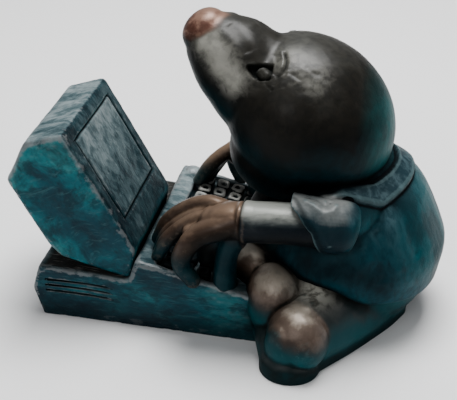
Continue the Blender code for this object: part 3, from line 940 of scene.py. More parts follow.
CURVE_STEPS = 8
TOES = ((22, 38, 33, 18, 25), (40, 59, 30, 20.5, 27), (60, 85, 22, 20, 23))
TOE_EXTRA = 4
TOE_SPLAY = 0.61

def curve_through(rows, steps):
    """A smooth curve through the rows, with some points for each span."""
    rows = np.array(rows, float)
    ends = np.vstack([2 * rows[0] - rows[1], rows, 2 * rows[-1] - rows[-2]])
    points = []
    for i in range(1, len(ends) - 2):
        before, start, end, after = ends[i - 1 : i + 3]
        for t in np.linspace(0, 1, steps, endpoint=False):
            line = 2 * start + (end - before) * t
            bend = (2 * before - 5 * start + 4 * end - after) * t**2
            twist = (3 * start - before - 3 * end + after) * t**3
            points.append(0.5 * (line + bend + twist))
    points.append(rows[-1])
    return np.array(points)


def loft(name, stations, sides=32, level=(0, 0, 1), cap=1.0):
    """A closed tube with round ends. A station is x, y, z, half width and half height."""
    curve = curve_through(stations, CURVE_STEPS)
    centres = curve[:, :3]
    halves = np.maximum(curve[:, 3:5], 0.3)
    tangents = np.gradient(centres, axis=0)
    tangents /= np.linalg.norm(tangents, axis=1)[:, None]
    stack = list(zip(centres, tangents, halves))
    poles = []
    for end, sign in ((0, -1), (-1, 1)):
        depth = cap * halves[end].min()
        rounds = []
        for k in range(1, 5):
            angle = math.pi / 2 * k / 5
            centre = centres[end] + sign * tangents[end] * depth * math.sin(angle)
            rounds.append((centre, tangents[end], halves[end] * math.cos(angle)))
        stack = rounds[::-1] + stack if sign < 0 else stack + rounds
        poles.append(centres[end] + sign * tangents[end] * depth)
    bm = bmesh.new()
    rings = []
    for centre, tangent, half in stack:
        side = np.cross(level, tangent)
        side /= np.linalg.norm(side)
        rise = np.cross(tangent, side)
        ring = []
        for k in range(sides):
            angle = 2 * math.pi * k / sides
            point = centre + side * half[0] * math.cos(angle) + rise * half[1] * math.sin(angle)
            ring.append(bm.verts.new(point * MM))
        rings.append(ring)
    for lower, upper in zip(rings, rings[1:]):
        for k in range(sides):
            nxt = (k + 1) % sides
            bm.faces.new((lower[k], lower[nxt], upper[nxt], upper[k]))
    for ring, pole in ((rings[0], poles[0]), (rings[-1], poles[1])):
        tip = bm.verts.new(pole * MM)
        for k in range(sides):
            bm.faces.new((ring[k], ring[(k + 1) % sides], tip))
    return new_object(name, bm)


def nearer_side(places):
    """The places of both sides of the figure, laid over those of its near side."""
    near = places.copy()
    near[:, 1] = -np.abs(places[:, 1])
    return near


def leg_forms(side):
    """A short leg, splayed out on the ground, with its sole."""
    return [
        loft(
            "leg",
            [
                (98, 10 * side, 14, 30, 22),
                (88, 36 * side, 18, 27, 26),
                (76, 58 * side, 20, 24, 28),
                (62, 80 * side, 20, 21, 26),
                (56, 90 * side, 18, 17, 22),
            ],
        ),
        ball("instep", (64, 54 * side, 26), (26, 24, 24)),
        loft(
            "edge",
            [
                (62, 92 * side, 3, 12, 12),
                (87, 63 * side, 3, 10, 12),
                (108, 32 * side, 2, 10, 14),
                (116, 12 * side, 2, 12, 14),
            ],
        ),
        ball("sole", (56, 92.5 * side, 2), (20.5, 18.5, 18)),
        loft(
            "foot",
            [
                (38, 56 * side, 14, 17, 18),
                (46, 70 * side, 11, 18.5, 18),
                (51, 81 * side, 8, 19, 18),
                (56, 90 * side, 3, 20, 17),
            ],
            cap=0.6,
        ),
    ]


rump = loft(
    "rump",
    [(83, 0, -4, 44, 44), (83, 0, 12, 50, 49), (84, 0, 30, 58, 57), (84, 0, 48, 60, 59)],
    sides=56,
    level=(-1, 0, 0),
    cap=0.1,
)
belly = ball("belly", (48, 0, 52), (42, 46, 44))
legs = one_skin("legs_base", leg_forms(-1) + leg_forms(1) + [rump, belly], voxel=1.1, soften_steps=10)
toes = []
for side in (-1, 1):
    for x, y, z, across, high in TOES:
        radii = (across, across + TOE_EXTRA, high)
        toes.append(ball("toe", (x, y * side, z), radii, (0, 0, -35 * side)))
legs = one_skin("mole_legs", [legs] + toes, voxel=1.05, soften_steps=4)
flat_underside(legs)
places, outward = read(legs)
near = nearer_side(places)
instep_patch = np.exp(-np.sum(((near - (67, -67, 50)) / (12, 13, 9)) ** 2, axis=1))
uneven = 0.3 * lumps(places, 22, 21) + 0.05 * lumps(places, 5, 22)
uneven += instep_patch * (0.7 * lumps(places, 4.5, 23) + 0.4 * lumps(places, 2.2, 24))
moved = places + outward * (np.minimum(uneven, 0.8) - 0.2)[:, None]
moved[:, 2] = np.where(places[:, 2] < 0.01, 0, np.maximum(moved[:, 2], 0))
move(legs, moved)
on_toe = np.zeros(len(places))
toe_high = np.zeros(len(places))
turn_cos, turn_sin = math.cos(TOE_SPLAY), math.sin(TOE_SPLAY)
toe_frame = np.array([[turn_cos, -turn_sin], [turn_sin, turn_cos]])
for x, y, z, across, high in TOES:
    away = near - (x, -y, z)
    turned = away[:, [0, 1]] @ toe_frame
    level_reach = (turned[:, 0] / across) ** 2 + (turned[:, 1] / (across + TOE_EXTRA)) ** 2
    reach = np.sqrt(level_reach + (away[:, 2] / high) ** 2)
    mine = ramp(reach, 1.10, 1.02)
    on_toe = np.maximum(on_toe, mine)
    toe_high = np.maximum(toe_high, mine * ramp(away[:, 2] / high, -0.15, 0.55))
# How far each spot faces the sky, a little less towards the back of the rump; the tones follow it as
# painted light and shade.
facing = 0.42 + 0.50 * outward[:, 2] - 0.10 * ramp(places[:, 0], 80, 130)
weather(legs, edge=(0.06, 0.3), crease=(0.05, 0.4), rounds=14, lift=facing)
paint(legs, "bronze", toe_high)
paint(legs, "pale", instep_patch)
paint(legs, "painted_shade", painted(legs, "painted_shade") * (1 - 0.9 * instep_patch))
paint(legs, "edge", painted(legs, "edge") * ramp(places[:, 2], 10, 20))
# Painted shade near the ground, lighter on the toes.
ground_band = ramp(places[:, 2], 12, 1) * (1 - 0.4 * on_toe)
shade(legs, 0.75 * ground_band)
coat = Finish("patina_feet", 34.0, 190.0)
lift = sums(coat.tree, "MULTIPLY_ADD", coat.patina["Blotches"], 0.16, coat.mask("lift"))
# Painted light and shade: tones lighten on faces that look up and darken below, with green patina on the
# lower flanks.
colour = coat.tones(
    lift,
    (0.05, (0.000, 0.010, 0.014)),
    (0.28, (0.000, 0.050, 0.058)),
    (0.48, (0.000, 0.032, 0.039)),
    (0.66, (0.002, 0.009, 0.010)),
    (0.95, (0.010, 0.012, 0.011)),
)
# Rubbed bronze on the toes; its lightest tone on their tops is a painted highlight.
bronze = coat.tones(
    sums(coat.tree, "MULTIPLY_ADD", coat.patina["Blotches"], 0.22, coat.mask("lift")),
    (0.40, (0.005, 0.005, 0.004)),
    (0.62, (0.034, 0.021, 0.015)),
    (0.84, (0.120, 0.084, 0.062)),
    (1.0, (0.420, 0.360, 0.290)),
)
colour = mix(coat.tree, coat.mask("bronze"), colour, bronze)
pale = mix(coat.tree, coat.patina["Strokes"], (0.80, 0.78, 0.67, 1), (0.200, 0.190, 0.155, 1))
colour = mix(coat.tree, coat.mask("pale"), colour, pale)
coat.surface.inputs["Coat Roughness"].default_value = 0.42
place(
    legs,
    coat.aged(
        colour,
        lift,
        break_up=0.7,
        bright=(0.25, (0.06, 0.13, 0.135)),
        dark=(0.97, (0.001, 0.002, 0.002)),
        wax=(0.45, 0.90, 0.02, 0.85),
        dull=(0.40, 0.70),
        metal=span(coat.tree, coat.mask("bronze"), 0.0, 1.0, 0.02, 0.35),
    ),
)


# The jacket: a wide coat with a standing collar and wide sleeves. It is cast with the rest.
# Its cloth is only modelled, with soft folds at the back and a hem that laps over the legs.

SLEEVE_RADIUS = 18.0
COLLAR_X = 66.0
COLLAR_INNER = 44.0
COLLAR_OUTER = 56.0
COLLAR_THICKNESS = 3.2


def line_distance(places, path):
    """How far each point is from a path, in millimetres, and how far along it, from 0 to 1."""
    path = np.array(path, float)
    best = np.full(len(places), 1e9)
    along = np.zeros(len(places))
    for k in range(len(path) - 1):
        span = path[k + 1] - path[k]
        t = np.clip((places - path[k]) @ span / (span @ span), 0, 1)
        away = np.linalg.norm(places - path[k] - t[:, None] * span, axis=1)
        nearer = away < best
        best = np.where(nearer, away, best)
        along = np.where(nearer, (k + t) / (len(path) - 1), along)
    return best, along


def groove(places, path, width):
    """A soft line along a path that fades at both ends: 1 in its middle, 0 beside it."""
    away, along = line_distance(places, path)
    return np.exp(-((away / width) ** 2)) * ramp(along, 0, 0.12) * ramp(along, 1, 0.88)


jacket_forms = [
    loft(
        "jacket",
        [
            (83, 0, 37, 61, 62),
            (84, 0, 45, 64.5, 64),
            (84, 0, 58, 66, 65),
            (82, 0, 80, 59, 55),
            (75, 0, 99, 45, 40.5),
            (68, 0, 116, 36, 33.5),
        ],
        sides=64,
        level=(-1, 0, 0),
        cap=0.1,
    )
]
sleeves = []
for side in (-1, 1):
    sleeve = loft(
        "sleeve",
        [
            (89, 58 * side, 94, 15, 16),
            (82, 60 * side, 96, SLEEVE_RADIUS, SLEEVE_RADIUS),
            (66, 63 * side, 98, SLEEVE_RADIUS, SLEEVE_RADIUS),
            (46, 62 * side, 100, SLEEVE_RADIUS, SLEEVE_RADIUS - 1),
            (26, 58 * side, 103, SLEEVE_RADIUS, SLEEVE_RADIUS - 2),
        ],
        sides=48,
        cap=0.1,
    )
    low, high = sorted((side * 30, side * 95))
    opening = [(-10, 60), (72, 60), (70, 84), (65, 100), (55, 111), (50, 114), (46, 130), (-10, 130)]
    combine(sleeve, prism("mouth", opening, low, high), "DIFFERENCE")
    sleeves.append(one_skin("sleeve", [sleeve], voxel=0.6, soften_steps=6))
    shoulder = loft(
        "shoulder", [(88, 26 * side, 92, 26, 22), (80, 42 * side, 95, 22, 20), (72, 54 * side, 99, 17, 17)]
    )
    jacket_forms.append(shoulder)
jacket = one_skin("mole_jacket", jacket_forms, voxel=1.05, soften_steps=7)
for sleeve in sleeves:
    combine(jacket, sleeve, "UNION")
places, outward = read(jacket)
reach = np.hypot(places[:, 0] - COLLAR_X, places[:, 1])
turn = np.degrees(np.abs(np.arctan2(places[:, 1], places[:, 0] - COLLAR_X)))
band = ramp(reach, COLLAR_INNER, COLLAR_INNER + 1) * ramp(reach, COLLAR_OUTER + 1.2, COLLAR_OUTER)
band *= ramp(places[:, 2], 98, 101) * ramp(places[:, 2], 126, 123) * ramp(turn, 84, 74)
band *= ramp(outward[:, 2], 0.1, 0.3)
near = nearer_side(places)
folds = (
    (((112, -32, 104), (124, -38, 86), (134, -40, 64)), 4.5, -1.3),
    (((118, -22, 102), (132, -26, 84), (142, -28, 62)), 6.0, 0.5),
    (((103, -50, 92), (109, -57, 72), (113, -60, 54)), 4.0, -1.2),
    (((108, -42, 96), (117, -49, 78), (123, -52, 58)), 4.5, 1.0),
    (((130, -8, 96), (142, -10, 78), (147, -12, 58)), 7.0, -0.4),
    (((98, -58, 86), (84, -66, 70), (62, -66, 56)), 4.0, -1.3),
    (((104, -58, 74), (90, -68, 60), (72, -70, 50)), 4.0, 0.9),
    (((55, -65, 117), (64, -69, 115), (71, -73, 111), (77, -70, 112), (80, -62, 115)), 2.4, 1.0),
    (((58, -60, 117), (66, -63, 116), (72, -67, 114), (76, -62, 115)), 2.2, -1.1),
    (((52, -72, 108), (62, -77, 104), (70, -79, 97)), 3.0, -0.7),
    (((68, -76, 104), (74, -78, 98), (78, -78, 90)), 2.5, 0.8),
)
shape = 0.4 * lumps(places, 24, 31) + 0.1 * lumps(places, 6, 32)
for path, width, height in folds:
    shape += height * groove(near, path, width)
move(jacket, places + outward * (shape - 0.2 + band * COLLAR_THICKNESS)[:, None])
# How far each spot faces the sky, a little more on the sides that turn outwards; the tones follow it as
# painted light and shade.
facing = 0.44 + 0.46 * outward[:, 2] + 0.05 * ramp(-outward[:, 1] * np.sign(-places[:, 1] + 1e-6), 0, 1)
weather(jacket, edge=(0.04, 0.25), crease=(0.05, 0.4), rounds=14, lift=facing)
hemmed = np.maximum(band, ramp(np.abs(places[:, 1]), 48, 56) * ramp(places[:, 0], 95, 88))
paint(jacket, "edge", painted(jacket, "edge") * ramp(places[:, 2], 70, 78) * hemmed)
# Faces that look back get a painted teal reflection.
paint(jacket, "back", ramp(outward[:, 0], 0.45, 0.95) * ramp(places[:, 2], 30, 60))
# Painted shadow of the sleeve on the jacket below it.
under_sleeve = line_distance(near, ((60, -60, 62), (82, -66, 64), (100, -66, 60), (112, -60, 50)))[0]
shade(jacket, 0.72 * np.exp(-((under_sleeve / 13) ** 2)))
# Painted shade in a line along the sleeve's opening.
mouth_edge = ((72, -78, 78), (70, -80, 86), (65, -80, 99), (55, -74, 111), (50, -68, 115))
mouth = line_distance(near, mouth_edge)[0]
shade(jacket, 0.55 * np.exp(-(((mouth - 3.5) / 1.6) ** 2)))
paint(jacket, "collar", band)
sleeve_area = ramp(np.abs(places[:, 1]), 48, 56) * ramp(places[:, 0], 92, 84) * ramp(places[:, 2], 76, 84)
paint(jacket, "sleeve", sleeve_area)
coat = Finish("patina_jacket", 30.0, 200.0, (1.0, 1.0, 0.55), (0, 12, 0))
blots = coat.patina["Blotches"]
strokes = coat.patina["Strokes"]
lift = sums(coat.tree, "MULTIPLY_ADD", blots, 0.14, coat.mask("lift"))
# Painted light and shade: tones are near black on faces that look down and lightest on those that look up.
colour = coat.tones(
    lift,
    (0.05, (0.000, 0.007, 0.011)),
    (0.30, (0.000, 0.042, 0.055)),
    (0.52, (0.001, 0.042, 0.058)),
    (0.76, (0.005, 0.036, 0.047)),
    (1.0, (0.050, 0.090, 0.102)),
)
colour = coat.over(colour, strokes, 0.7, (0.001, 0.018, 0.026))
dark_blotches = span(coat.tree, blots, 0.7, 0.0, 0.0, 0.75)
colour = mix(coat.tree, dark_blotches, colour, (0.004, 0.013, 0.017, 1))
# Painted teal reflection on the faces that look back.
rim = sums(coat.tree, "MULTIPLY", coat.mask("back"), span(coat.tree, blots, 0.0, 1.0, 0.2, 0.75))
colour = mix(coat.tree, rim, colour, (0.001, 0.080, 0.090, 1))
# The sleeves' tones: painted shade below and a painted highlight on top.
sleeve_light_and_shade = coat.tones(
    lift,
    (0.10, (0.000, 0.004, 0.007)),
    (0.54, (0.001, 0.010, 0.015)),
    (0.80, (0.003, 0.016, 0.022)),
    (1.0, (0.155, 0.165, 0.160)),
)
colour = mix(coat.tree, coat.mask("sleeve"), colour, sleeve_light_and_shade)
band_colour = mix(coat.tree, strokes, (0.007, 0.022, 0.029, 1), (0.036, 0.066, 0.076, 1))
colour = mix(coat.tree, coat.mask("collar"), colour, band_colour)
coat.surface.inputs["Coat Roughness"].default_value = 0.40
place(
    jacket,
    coat.aged(
        colour,
        lift,
        break_up=0.3,
        bright=(0.35, (0.075, 0.125, 0.130)),
        dark=(0.97, (0.001, 0.002, 0.003)),
        wax=(0.55, 0.95, 0.0, 0.30),
        dull=(0.42, 0.70),
        metal=span(coat.tree, coat.mask("sleeve"), 0.0, 1.0, 0.0, 0.08),
        wax_area=span(coat.tree, coat.mask("sleeve"), 0.0, 1.0, 0.35, 1.0),
        grain_scale=760.0,
        bump=0.45,
    ),
)


# The forearms and the big digging hands, which lie on the keys. The forearms are smooth
# shirt sleeves that end at the wrist in a fine line, and the hands are rubbed to copper.

FINGER_RADIUS = 5.6
WRIST_RADIUS = 12.5
CUFF_X = 18.5


def arm_forms(side):
    """A forearm and its hand. The far hand lies flatter."""
    fall = 0 if side < 0 else -5
    forms = [
        loft(
            "forearm",
            [
                (76, 62 * side, 96, 15, 14),
                (46, 66 * side, 97, 14.5, 14),
                (17, 67 * side, 95, WRIST_RADIUS + 0.5, WRIST_RADIUS + 1.5),
            ],
            cap=0.2,
        ),
        loft(
            "hand",
            [
                (24, 67 * side, 95, WRIST_RADIUS - 1.5, WRIST_RADIUS - 0.5),
                (10, 65 * side, 94, 14, 12.5),
                (-2, 62 * side, 92 + fall, 14, 9),
            ],
        ),
    ]
    r = FINGER_RADIUS
    if side < 0:
        first = [(8, 57, 97, r), (-7, 53, 98, r), (-22, 50, 91, r), (-37, 48, 77, r), (-46, 46, 60, r - 1)]
        second = [(6, 65, 95, r), (-8, 63, 92, r), (-22, 61, 83, r), (-35, 60, 69, r), (-43, 58, 53, r - 1)]
        third = [(14, 70, 96, 9), (2, 73, 91, 9), (-11, 75, 84, 8), (-19, 76, 73, 7.2)]
        third += [(-22, 74, 60, 6.6), (-15, 71, 46, r)]
        webs = [[(14, 61, 88, 11), (3, 58, 78, 10), (-7, 56, 68, 9), (-9, 55, 56, 7)]]
    else:
        first = [(8, 57, 91, r), (-6, 53, 87, r), (-19, 51, 79, r), (-30, 49, 68, r), (-39, 46, 55, r - 1)]
        second = [(6, 65, 90, r), (-7, 63, 84, r), (-19, 61, 75, r), (-28, 59, 63, r), (-35, 57, 50, r - 1)]
        third = [(9, 72, 92, r), (-4, 74, 85, r + 1), (-14, 75, 74, r + 1), (-18, 74, 60, r)]
        third += [(-11, 70, 45, r - 1)]
        webs = [[(18, 64, 92, 12), (4, 60, 86 + fall, 11), (-10, 57, 80 + fall, 9)]]
    heel = [(15, 66, 86, 9), (9, 65, 72, 8), (6, 63, 57, 8), (5, 61, 40, 9)]
    for one, other in ((first, second), (second, third)):
        webs.append([
            ((a[0] + b[0]) / 2, (a[1] + b[1]) / 2, (a[2] + b[2]) / 2 - 1.2, (a[3] + b[3]) / 2 - 0.9)
            for a, b in list(zip(one, other))[: 5 if one is first else 3]
        ])
    for path in [first, second, third, heel] + webs:
        forms.append(loft("finger", [(x, y * side, z, a, a) for x, y, z, a in path], sides=24))
    return forms


arms = one_skin("mole_arms", arm_forms(-1) + arm_forms(1), voxel=0.78, soften_steps=8)
places, outward = read(arms)
cuff = np.exp(-(((places[:, 0] - CUFF_X) / 0.8) ** 2)) * ramp(places[:, 2], 78, 82)
shirt = ramp(places[:, 0], CUFF_X - 0.6, CUFF_X + 0.6)
shape = 0.25 * lumps(places, 16, 41) + 0.10 * lumps(places, 4, 42) * (1 - shirt)
shape -= 0.9 * cuff
shape += 0.5 * shirt * ramp(places[:, 0], CUFF_X + 8, CUFF_X + 2)
move(arms, places + outward * (shape - 0.1)[:, None])
# How far each spot faces the sky, raised on the far hand as painted light.
facing = 0.44 + 0.50 * outward[:, 2] + 0.16 * ramp(places[:, 1], 20, 40)
weather(arms, edge=(0.04, 0.25), crease=(0.04, 0.35), rounds=13, lift=facing)
paint(arms, "shirt", shirt)
# Less painted shade on the open parts of the far hand.
far_clear = 1 - 0.8 * ramp(places[:, 1], 25, 40) * ramp(outward[:, 2], 0, 0.5)
paint(arms, "painted_shade", painted(arms, "painted_shade") * far_clear)
# Painted shade in the groove at the wrist.
shade(arms, cuff * 0.9)
# Painted shade on the palm of the near hand.
palm = ramp(places[:, 1], -69, -64) * ramp(places[:, 1], -40, -46) * ramp(places[:, 2], 86, 80)
shade(arms, 0.95 * palm * ramp(places[:, 0], -18, -10) * ramp(places[:, 0], 12, 6))
low_down = ramp(places[:, 2], 78, 58)
heel_area = ramp(places[:, 0], -6, 2) * ramp(places[:, 2], 88, 78)
paint(arms, "green", np.maximum(low_down, heel_area) * (1 - shirt))
coat = Finish("patina_hands", 42.0, 220.0, (0.6, 1.0, 1.0), (0, 20, 0))
lift = sums(coat.tree, "MULTIPLY_ADD", coat.patina["Blotches"], 0.16, coat.mask("lift"))
# Painted light and shade: each tone darkens on faces that look down and lightens on those that look up, up
# to a painted highlight on the shirt sleeves.
copper = coat.tones(
    lift,
    (0.25, (0.001, 0.001, 0.001)),
    (0.52, (0.009, 0.006, 0.004)),
    (0.76, (0.040, 0.024, 0.016)),
    (1.0, (0.165, 0.108, 0.072)),
)
teal = coat.tones(
    lift,
    (0.10, (0.000, 0.003, 0.005)),
    (0.50, (0.000, 0.014, 0.019)),
    (1.0, (0.006, 0.034, 0.038)),
)
shirt_colour = coat.tones(
    lift,
    (0.32, (0.000, 0.001, 0.002)),
    (0.64, (0.002, 0.005, 0.008)),
    (0.76, (0.014, 0.020, 0.022)),
    (0.87, (0.085, 0.093, 0.086)),
    (1.0, (0.280, 0.292, 0.265)),
)
colour = mix(coat.tree, coat.mask("green"), copper, teal)
colour = mix(coat.tree, coat.mask("shirt"), colour, shirt_colour)
place(
    arms,
    coat.aged(
        colour,
        lift,
        break_up=0.9,
        bright=(0.15, (0.20, 0.15, 0.11)),
        dark=(0.97, (0.001, 0.001, 0.001)),
        wax=(0.50, 0.95, 0.02, 0.45),
        dull=(0.42, 0.66),
        metal=span(coat.tree, coat.mask("shirt"), 0.0, 1.0, 0.25, 0.1),
    ),
)


# The mole's head, a smooth ball with a long raised snout. It sits down into the collar.
# The nose pad is rubbed to copper, and small eyes look out of sockets cut into the wax.

HEAD_X = 51.0
HEAD_Z = 143.0
HEAD_RADII = (61.2, 57.0, 52.5)
SNOUT_RISE = 38.0
SNOUT_REACH = 92.0
NOSE_RADIUS = 16.8
EYE = np.array([23.2, -29.0, 184.4])
EYE_RADIUS = 4.7

rise_angle = math.radians(SNOUT_RISE)
along = np.array([-math.cos(rise_angle), 0, math.sin(rise_angle)])
over = np.array([math.sin(rise_angle), 0, math.cos(rise_angle)])
head_centre = np.array([HEAD_X, 0, HEAD_Z])
snout_stations = []
for reach, drop, radius in (
    (0.00, 3.0, 45.0),
    (0.42, 4.4, 37.4),
    (0.60, 3.8, 33.2),
    (0.75, 3.0, 29.8),
    (0.87, 2.2, 24.8),
    (0.95, 1.6, 20.8),
    (1.00, 1.0, NOSE_RADIUS),
):
    point = head_centre + along * reach * SNOUT_REACH - over * drop
    snout_stations.append((*point, radius, radius))
head = one_skin(
    "mole_head",
    [
        ball("skull", head_centre, HEAD_RADII, (0, SNOUT_RISE, 0)),
        loft("snout", snout_stations, sides=64, cap=0.75),
        ball("jowl", head_centre + np.array([-12, 0, -24]), (43, 45, 36)),
    ],
    voxel=0.88,
    soften_steps=40,
)
places, outward = read(head)
near = nearer_side(places)

# The eye and the wrinkles are drawn on a plane that looks up and outwards at the eye: across
# is towards the back of the head and upwards is towards its crown.
look_out = np.array([0.182, -0.835, 0.5195])
across = np.array([0.977, 0.213, 0.0])
upwards = np.cross(look_out, across)
from_eye = near - EYE
eye_plane = np.stack([from_eye @ across, from_eye @ upwards, np.zeros(len(near))], axis=1)
u, v = eye_plane[:, 0], eye_plane[:, 1]
close = ramp(np.linalg.norm(from_eye, axis=1), 48, 42)


def drawn(width, *path):
    """A soft line drawn on the eye's plane."""
    return groove(eye_plane, [(a, b, 0) for a, b in path], width) * close


def beyond(point, direction):
    """How far beyond a slanted edge each point of the eye's plane lies."""
    length = math.hypot(*direction)
    return ((u - point[0]) * direction[0] + (v - point[1]) * direction[1]) / length


socket_sides = (
    beyond((0, 6.4), (-0.02, 1.0)),
    beyond((-10.8, 3.0), (-1.0, 0.15)),
    beyond((-8.2, -1.2), (-0.755, -0.655)),
    beyond((0, -5.2), (0.0, -1.0)),
    beyond((5.8, 2.0), (0.97, -0.24)),
)
socket_edge = 0.8 * np.log(sum(np.exp(np.clip(side / 0.8, -60, 60)) for side in socket_sides))
socket = ramp(socket_edge, 0.5, -1.6) * close
lid_reach = np.hypot(u, v)
lid = np.sqrt(np.clip(1 - (lid_reach / EYE_RADIUS) ** 2, 0, 1)) * close
shape = -4.6 * socket * (0.75 + 0.25 * ramp(v, 0, 5))
shape = np.where((lid > 0) & (socket > 0), np.maximum(shape, -4.4 + 4.9 * lid), shape)
lid_line = drawn(
    0.55, (-3.6, -5.6), (-4.9, -3.4), (-5.1, -1.0), (-4.2, 1.2), (-2.4, 2.9), (0.8, 4.2), (3.4, 4.2)
)
shape += 1.1 * lid_line
brow = drawn(0.95, (13.4, 14.5), (14.2, 11.5), (14.9, 6.9), (13.6, 2.6), (10.8, -1.2), (6.9, -4.2))
brow_ridge = drawn(0.75, (12.0, 15.5), (12.4, 12.5), (12.8, 9.4), (11.9, 4.0), (10.2, 1.0))
under_brow = drawn(2.4, (8.5, 14.0), (8.8, 8.0), (7.5, 2.0), (5.0, -1.5))
shape += -1.25 * brow + 0.75 * brow_ridge - 0.7 * under_brow
wrinkles = (
    (0.60, 0.9, (1.2, -5.0), (5.5, -3.8), (9.6, -0.2)),
    (0.45, 0.9, (0.4, -5.6), (2.2, -9.0), (6.2, -11.6)),
    (0.55, 1.0, (4.6, -9.2), (9.0, -6.4), (12.8, -3.1), (14.8, 0.6)),
    (0.40, 1.0, (3.0, -12.2), (9.0, -10.2), (14.5, -9.0)),
    (0.35, 1.3, (15.4, -0.6), (20.0, -2.8), (24.0, -6.2)),
    (0.18, 1.6, (20.0, -9.4), (26.0, -7.6), (32.0, -8.2)),
    (0.16, 1.8, (21.0, -14.4), (27.0, -12.0), (33.0, -13.4), (40.0, -10.2)),
    (0.25, 1.2, (-8.0, -3.6), (-6.0, -8.0), (-1.0, -11.0)),
    (0.25, 1.3, (26.0, 4.0), (31.0, -0.5), (36.0, -2.4)),
)
for depth, width, *path in wrinkles:
    shape -= depth * drawn(width, *path)
shape -= 0.7 * drawn(4.0, (-22.0, 34.0), (-17.0, 27.0), (-12.0, 18.0), (-9.0, 12.0))
shape -= 1.0 * drawn(6.5, (-2, 36), (1, 28), (3, 20), (4, 12), (5, 5))
crinkle = np.exp(-np.sum(((near - (44, -36, 186)) / (20, 14, 12)) ** 2, axis=1))
shape += crinkle * (0.40 * lumps(places, 6, 51) + 0.16 * lumps(places, 2.6, 52))
shape += 0.3 * lumps(places, 20, 53) + 0.05 * lumps(places, 3.2, 54)
nose_edge = ((-16, 0, 209), (-17, -8, 207.5), (-20, -14, 202.6), (-27, -15, 199.6), (-32, -12, 197.5))
shape -= 0.5 * groove(near, nose_edge, 1.6)
move(head, places + outward * (shape - 0.15)[:, None])
nose_away = (places - head_centre) @ along / SNOUT_REACH
nose = ramp(nose_away + 0.02 * lumps(places, 7, 55) + 0.10 * (outward @ over), 1.0, 1.07)
# How far each spot faces the sky, less on the back of the head and under the snout, as painted shade.
facing = 0.40 + 0.42 * outward[:, 2] + 0.04 * np.abs(outward[:, 1]) - 0.16 * np.clip(outward[:, 0], 0, 1)
facing -= 0.05 * np.clip(-outward[:, 0], 0, 1) * ramp(outward[:, 2], 0.2, -0.3)
weather(head, edge=(0.05, 0.30), crease=(0.10, 0.45), rounds=9, lift=facing)
# Painted shade in the eye socket and along the brow.
shade(head, np.maximum(socket * (1 - 0.8 * ramp(lid, 0.35, 0.8)) * 0.92, brow * 0.6))
# A painted highlight along the side of the snout and, fainter, on the skull.
snout_side = line_distance(near, ((-18, -19, 199), (-9, -24, 194), (-2, -28, 187), (4, -32, 179)))[0]
skull_side = line_distance(near, ((38, -24, 193), (48, -30, 190), (58, -33, 185)))[0]
wear_and_painted_highlight = np.exp(-((snout_side / 11) ** 2)) + 0.45 * np.exp(-((skull_side / 13) ** 2))
paint(head, "wear_and_painted_highlight", np.clip(wear_and_painted_highlight * (1 + 0.3 * lumps(places, 8, 56)), 0, 1) * (1 - nose))
eye_edge = painted(head, "edge") * (1 - 0.75 * ramp(lid_reach, 18, 13) * close)
paint(head, "edge", np.clip(np.maximum(eye_edge, np.maximum(lid_line * 0.55, brow_ridge * 0.3)), 0, 1))
paint(head, "nose", nose)
# Faces that look back get a painted teal reflection.
paint(head, "back", ramp(outward[:, 0], 0.62, 1.0))
coat = Finish("patina_head", 26.0, 170.0)
blots = coat.patina["Blotches"]
strokes = coat.patina["Strokes"]
lift = sums(coat.tree, "MULTIPLY_ADD", blots, 0.12, coat.mask("lift"))
# Painted light and shade: green patina under the head, near black at its middle and lighter on top.
colour = coat.tones(
    lift,
    (0.10, (0.000, 0.034, 0.042)),
    (0.30, (0.000, 0.012, 0.016)),
    (0.48, (0.003, 0.004, 0.004)),
    (0.66, (0.010, 0.009, 0.007)),
    (0.84, (0.024, 0.023, 0.019)),
    (1.0, (0.060, 0.061, 0.054)),
)
colour = coat.over(colour, strokes, 0.4, (0.002, 0.003, 0.003))
# Painted teal reflection on the faces that look back.
rim = sums(coat.tree, "MULTIPLY", coat.mask("back"), span(coat.tree, blots, 0.0, 1.0, 0.35, 0.85))
colour = mix(coat.tree, rim, colour, (0.000, 0.085, 0.088, 1))
# The painted highlight on the snout and skull.
wear_and_painted_highlight = sums(coat.tree, "MULTIPLY_ADD", strokes, -0.18, coat.mask("wear_and_painted_highlight"))
colour = mix(coat.tree, span(coat.tree, wear_and_painted_highlight, 0.05, 1.2), colour, (0.280, 0.276, 0.242, 1))
copper = coat.tones(
    sums(coat.tree, "MULTIPLY_ADD", strokes, 0.35, blots),
    (0.1, (0.040, 0.017, 0.012)),
    (0.6, (0.090, 0.040, 0.028)),
    (1.0, (0.200, 0.115, 0.082)),
)
colour = mix(coat.tree, coat.mask("nose"), colour, copper)
coat.surface.inputs["Coat Roughness"].default_value = 0.36
place(
    head,
    coat.aged(
        colour,
        lift,
        break_up=0.5,
        bright=(0.4, (0.16, 0.16, 0.15)),
        dark=(0.96, (0.001, 0.002, 0.002)),
        wax=(0.58, 0.88, 0.0, 0.36),
        dull=(0.40, 0.66),
        metal=span(coat.tree, coat.mask("nose"), 0.0, 1.0, 0.03, 0.3),
        grain_scale=560.0,
        bump=0.26,
    ),
)


# The studio: a plain pale floor, soft lamps and the camera at the photograph's angle.
# It serves the pictures alone and is no part of the statue.

CAMERA_AZIMUTH = 12.3
CAMERA_ELEVATION = 31.3
CAMERA_DISTANCE = 0.76
CAMERA_TARGET = (-0.0020, -0.026, 0.085)
CAMERA_LENS = 86.65
FLOOR_TONE = (0.90, 0.90, 0.90, 1)
SKY_TONE = (0.95, 0.97, 1.0, 1)
SKY_STRENGTH = 0.24


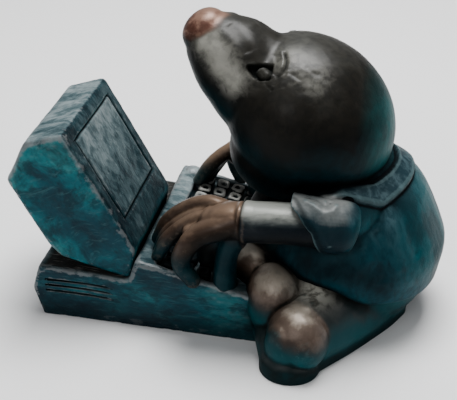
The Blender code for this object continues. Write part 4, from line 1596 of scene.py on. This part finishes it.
def facing_matrix(azimuth, elevation, distance, target):
    """Where something stands that looks at the target from an angle."""
    a, e = math.radians(azimuth), math.radians(elevation)
    backwards = Vector((math.sin(a) * math.cos(e), -math.cos(a) * math.cos(e), math.sin(e)))
    right = Vector((math.cos(a), math.sin(a), 0))
    matrix = Matrix((right, backwards.cross(right), backwards)).transposed().to_4x4()
    matrix.translation = Vector(target) + backwards * distance
    return matrix


camera_data = bpy.data.cameras.new("camera")
camera_data.sensor_width = 36
camera_data.lens = CAMERA_LENS
camera_data.clip_start = 0.01
camera = bpy.data.objects.new("camera", camera_data)
bpy.context.scene.collection.objects.link(camera)
camera.matrix_world = facing_matrix(CAMERA_AZIMUTH, CAMERA_ELEVATION, CAMERA_DISTANCE, CAMERA_TARGET)
bpy.context.scene.camera = camera

floor_mesh = bmesh.new()
bmesh.ops.create_grid(floor_mesh, x_segments=1, y_segments=1, size=6)
floor = new_object("floor", floor_mesh)
floor.location.z = -0.0002
floor_paint = bpy.data.materials.new("studio_floor")
floor_paint.use_nodes = True
floor_surface = floor_paint.node_tree.nodes["Principled BSDF"]
floor_surface.inputs["Base Color"].default_value = FLOOR_TONE
floor_surface.inputs["Roughness"].default_value = 0.9
floor.data.materials.append(floor_paint)
floor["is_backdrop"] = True

for name, azimuth, elevation, distance, size, power in (
    ("top_lamp", 172, 76, 1.4, 0.8, 42),
    ("side_lamp", -20, 34, 1.6, 0.9, 5),
    ("rim_lamp", 110, 20, 1.5, 0.8, 1.5),
):
    lamp_data = bpy.data.lights.new(name, "AREA")
    lamp_data.energy = power
    lamp_data.size = size
    lamp = bpy.data.objects.new(name, lamp_data)
    bpy.context.scene.collection.objects.link(lamp)
    lamp.matrix_world = facing_matrix(azimuth, elevation, distance, (0, 0, 0.08))

world = bpy.data.worlds.new("studio")
world.use_nodes = True
sky = world.node_tree.nodes["Background"]
sky.inputs["Color"].default_value = SKY_TONE
sky.inputs["Strength"].default_value = SKY_STRENGTH
bpy.context.scene.world = world

low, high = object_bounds()
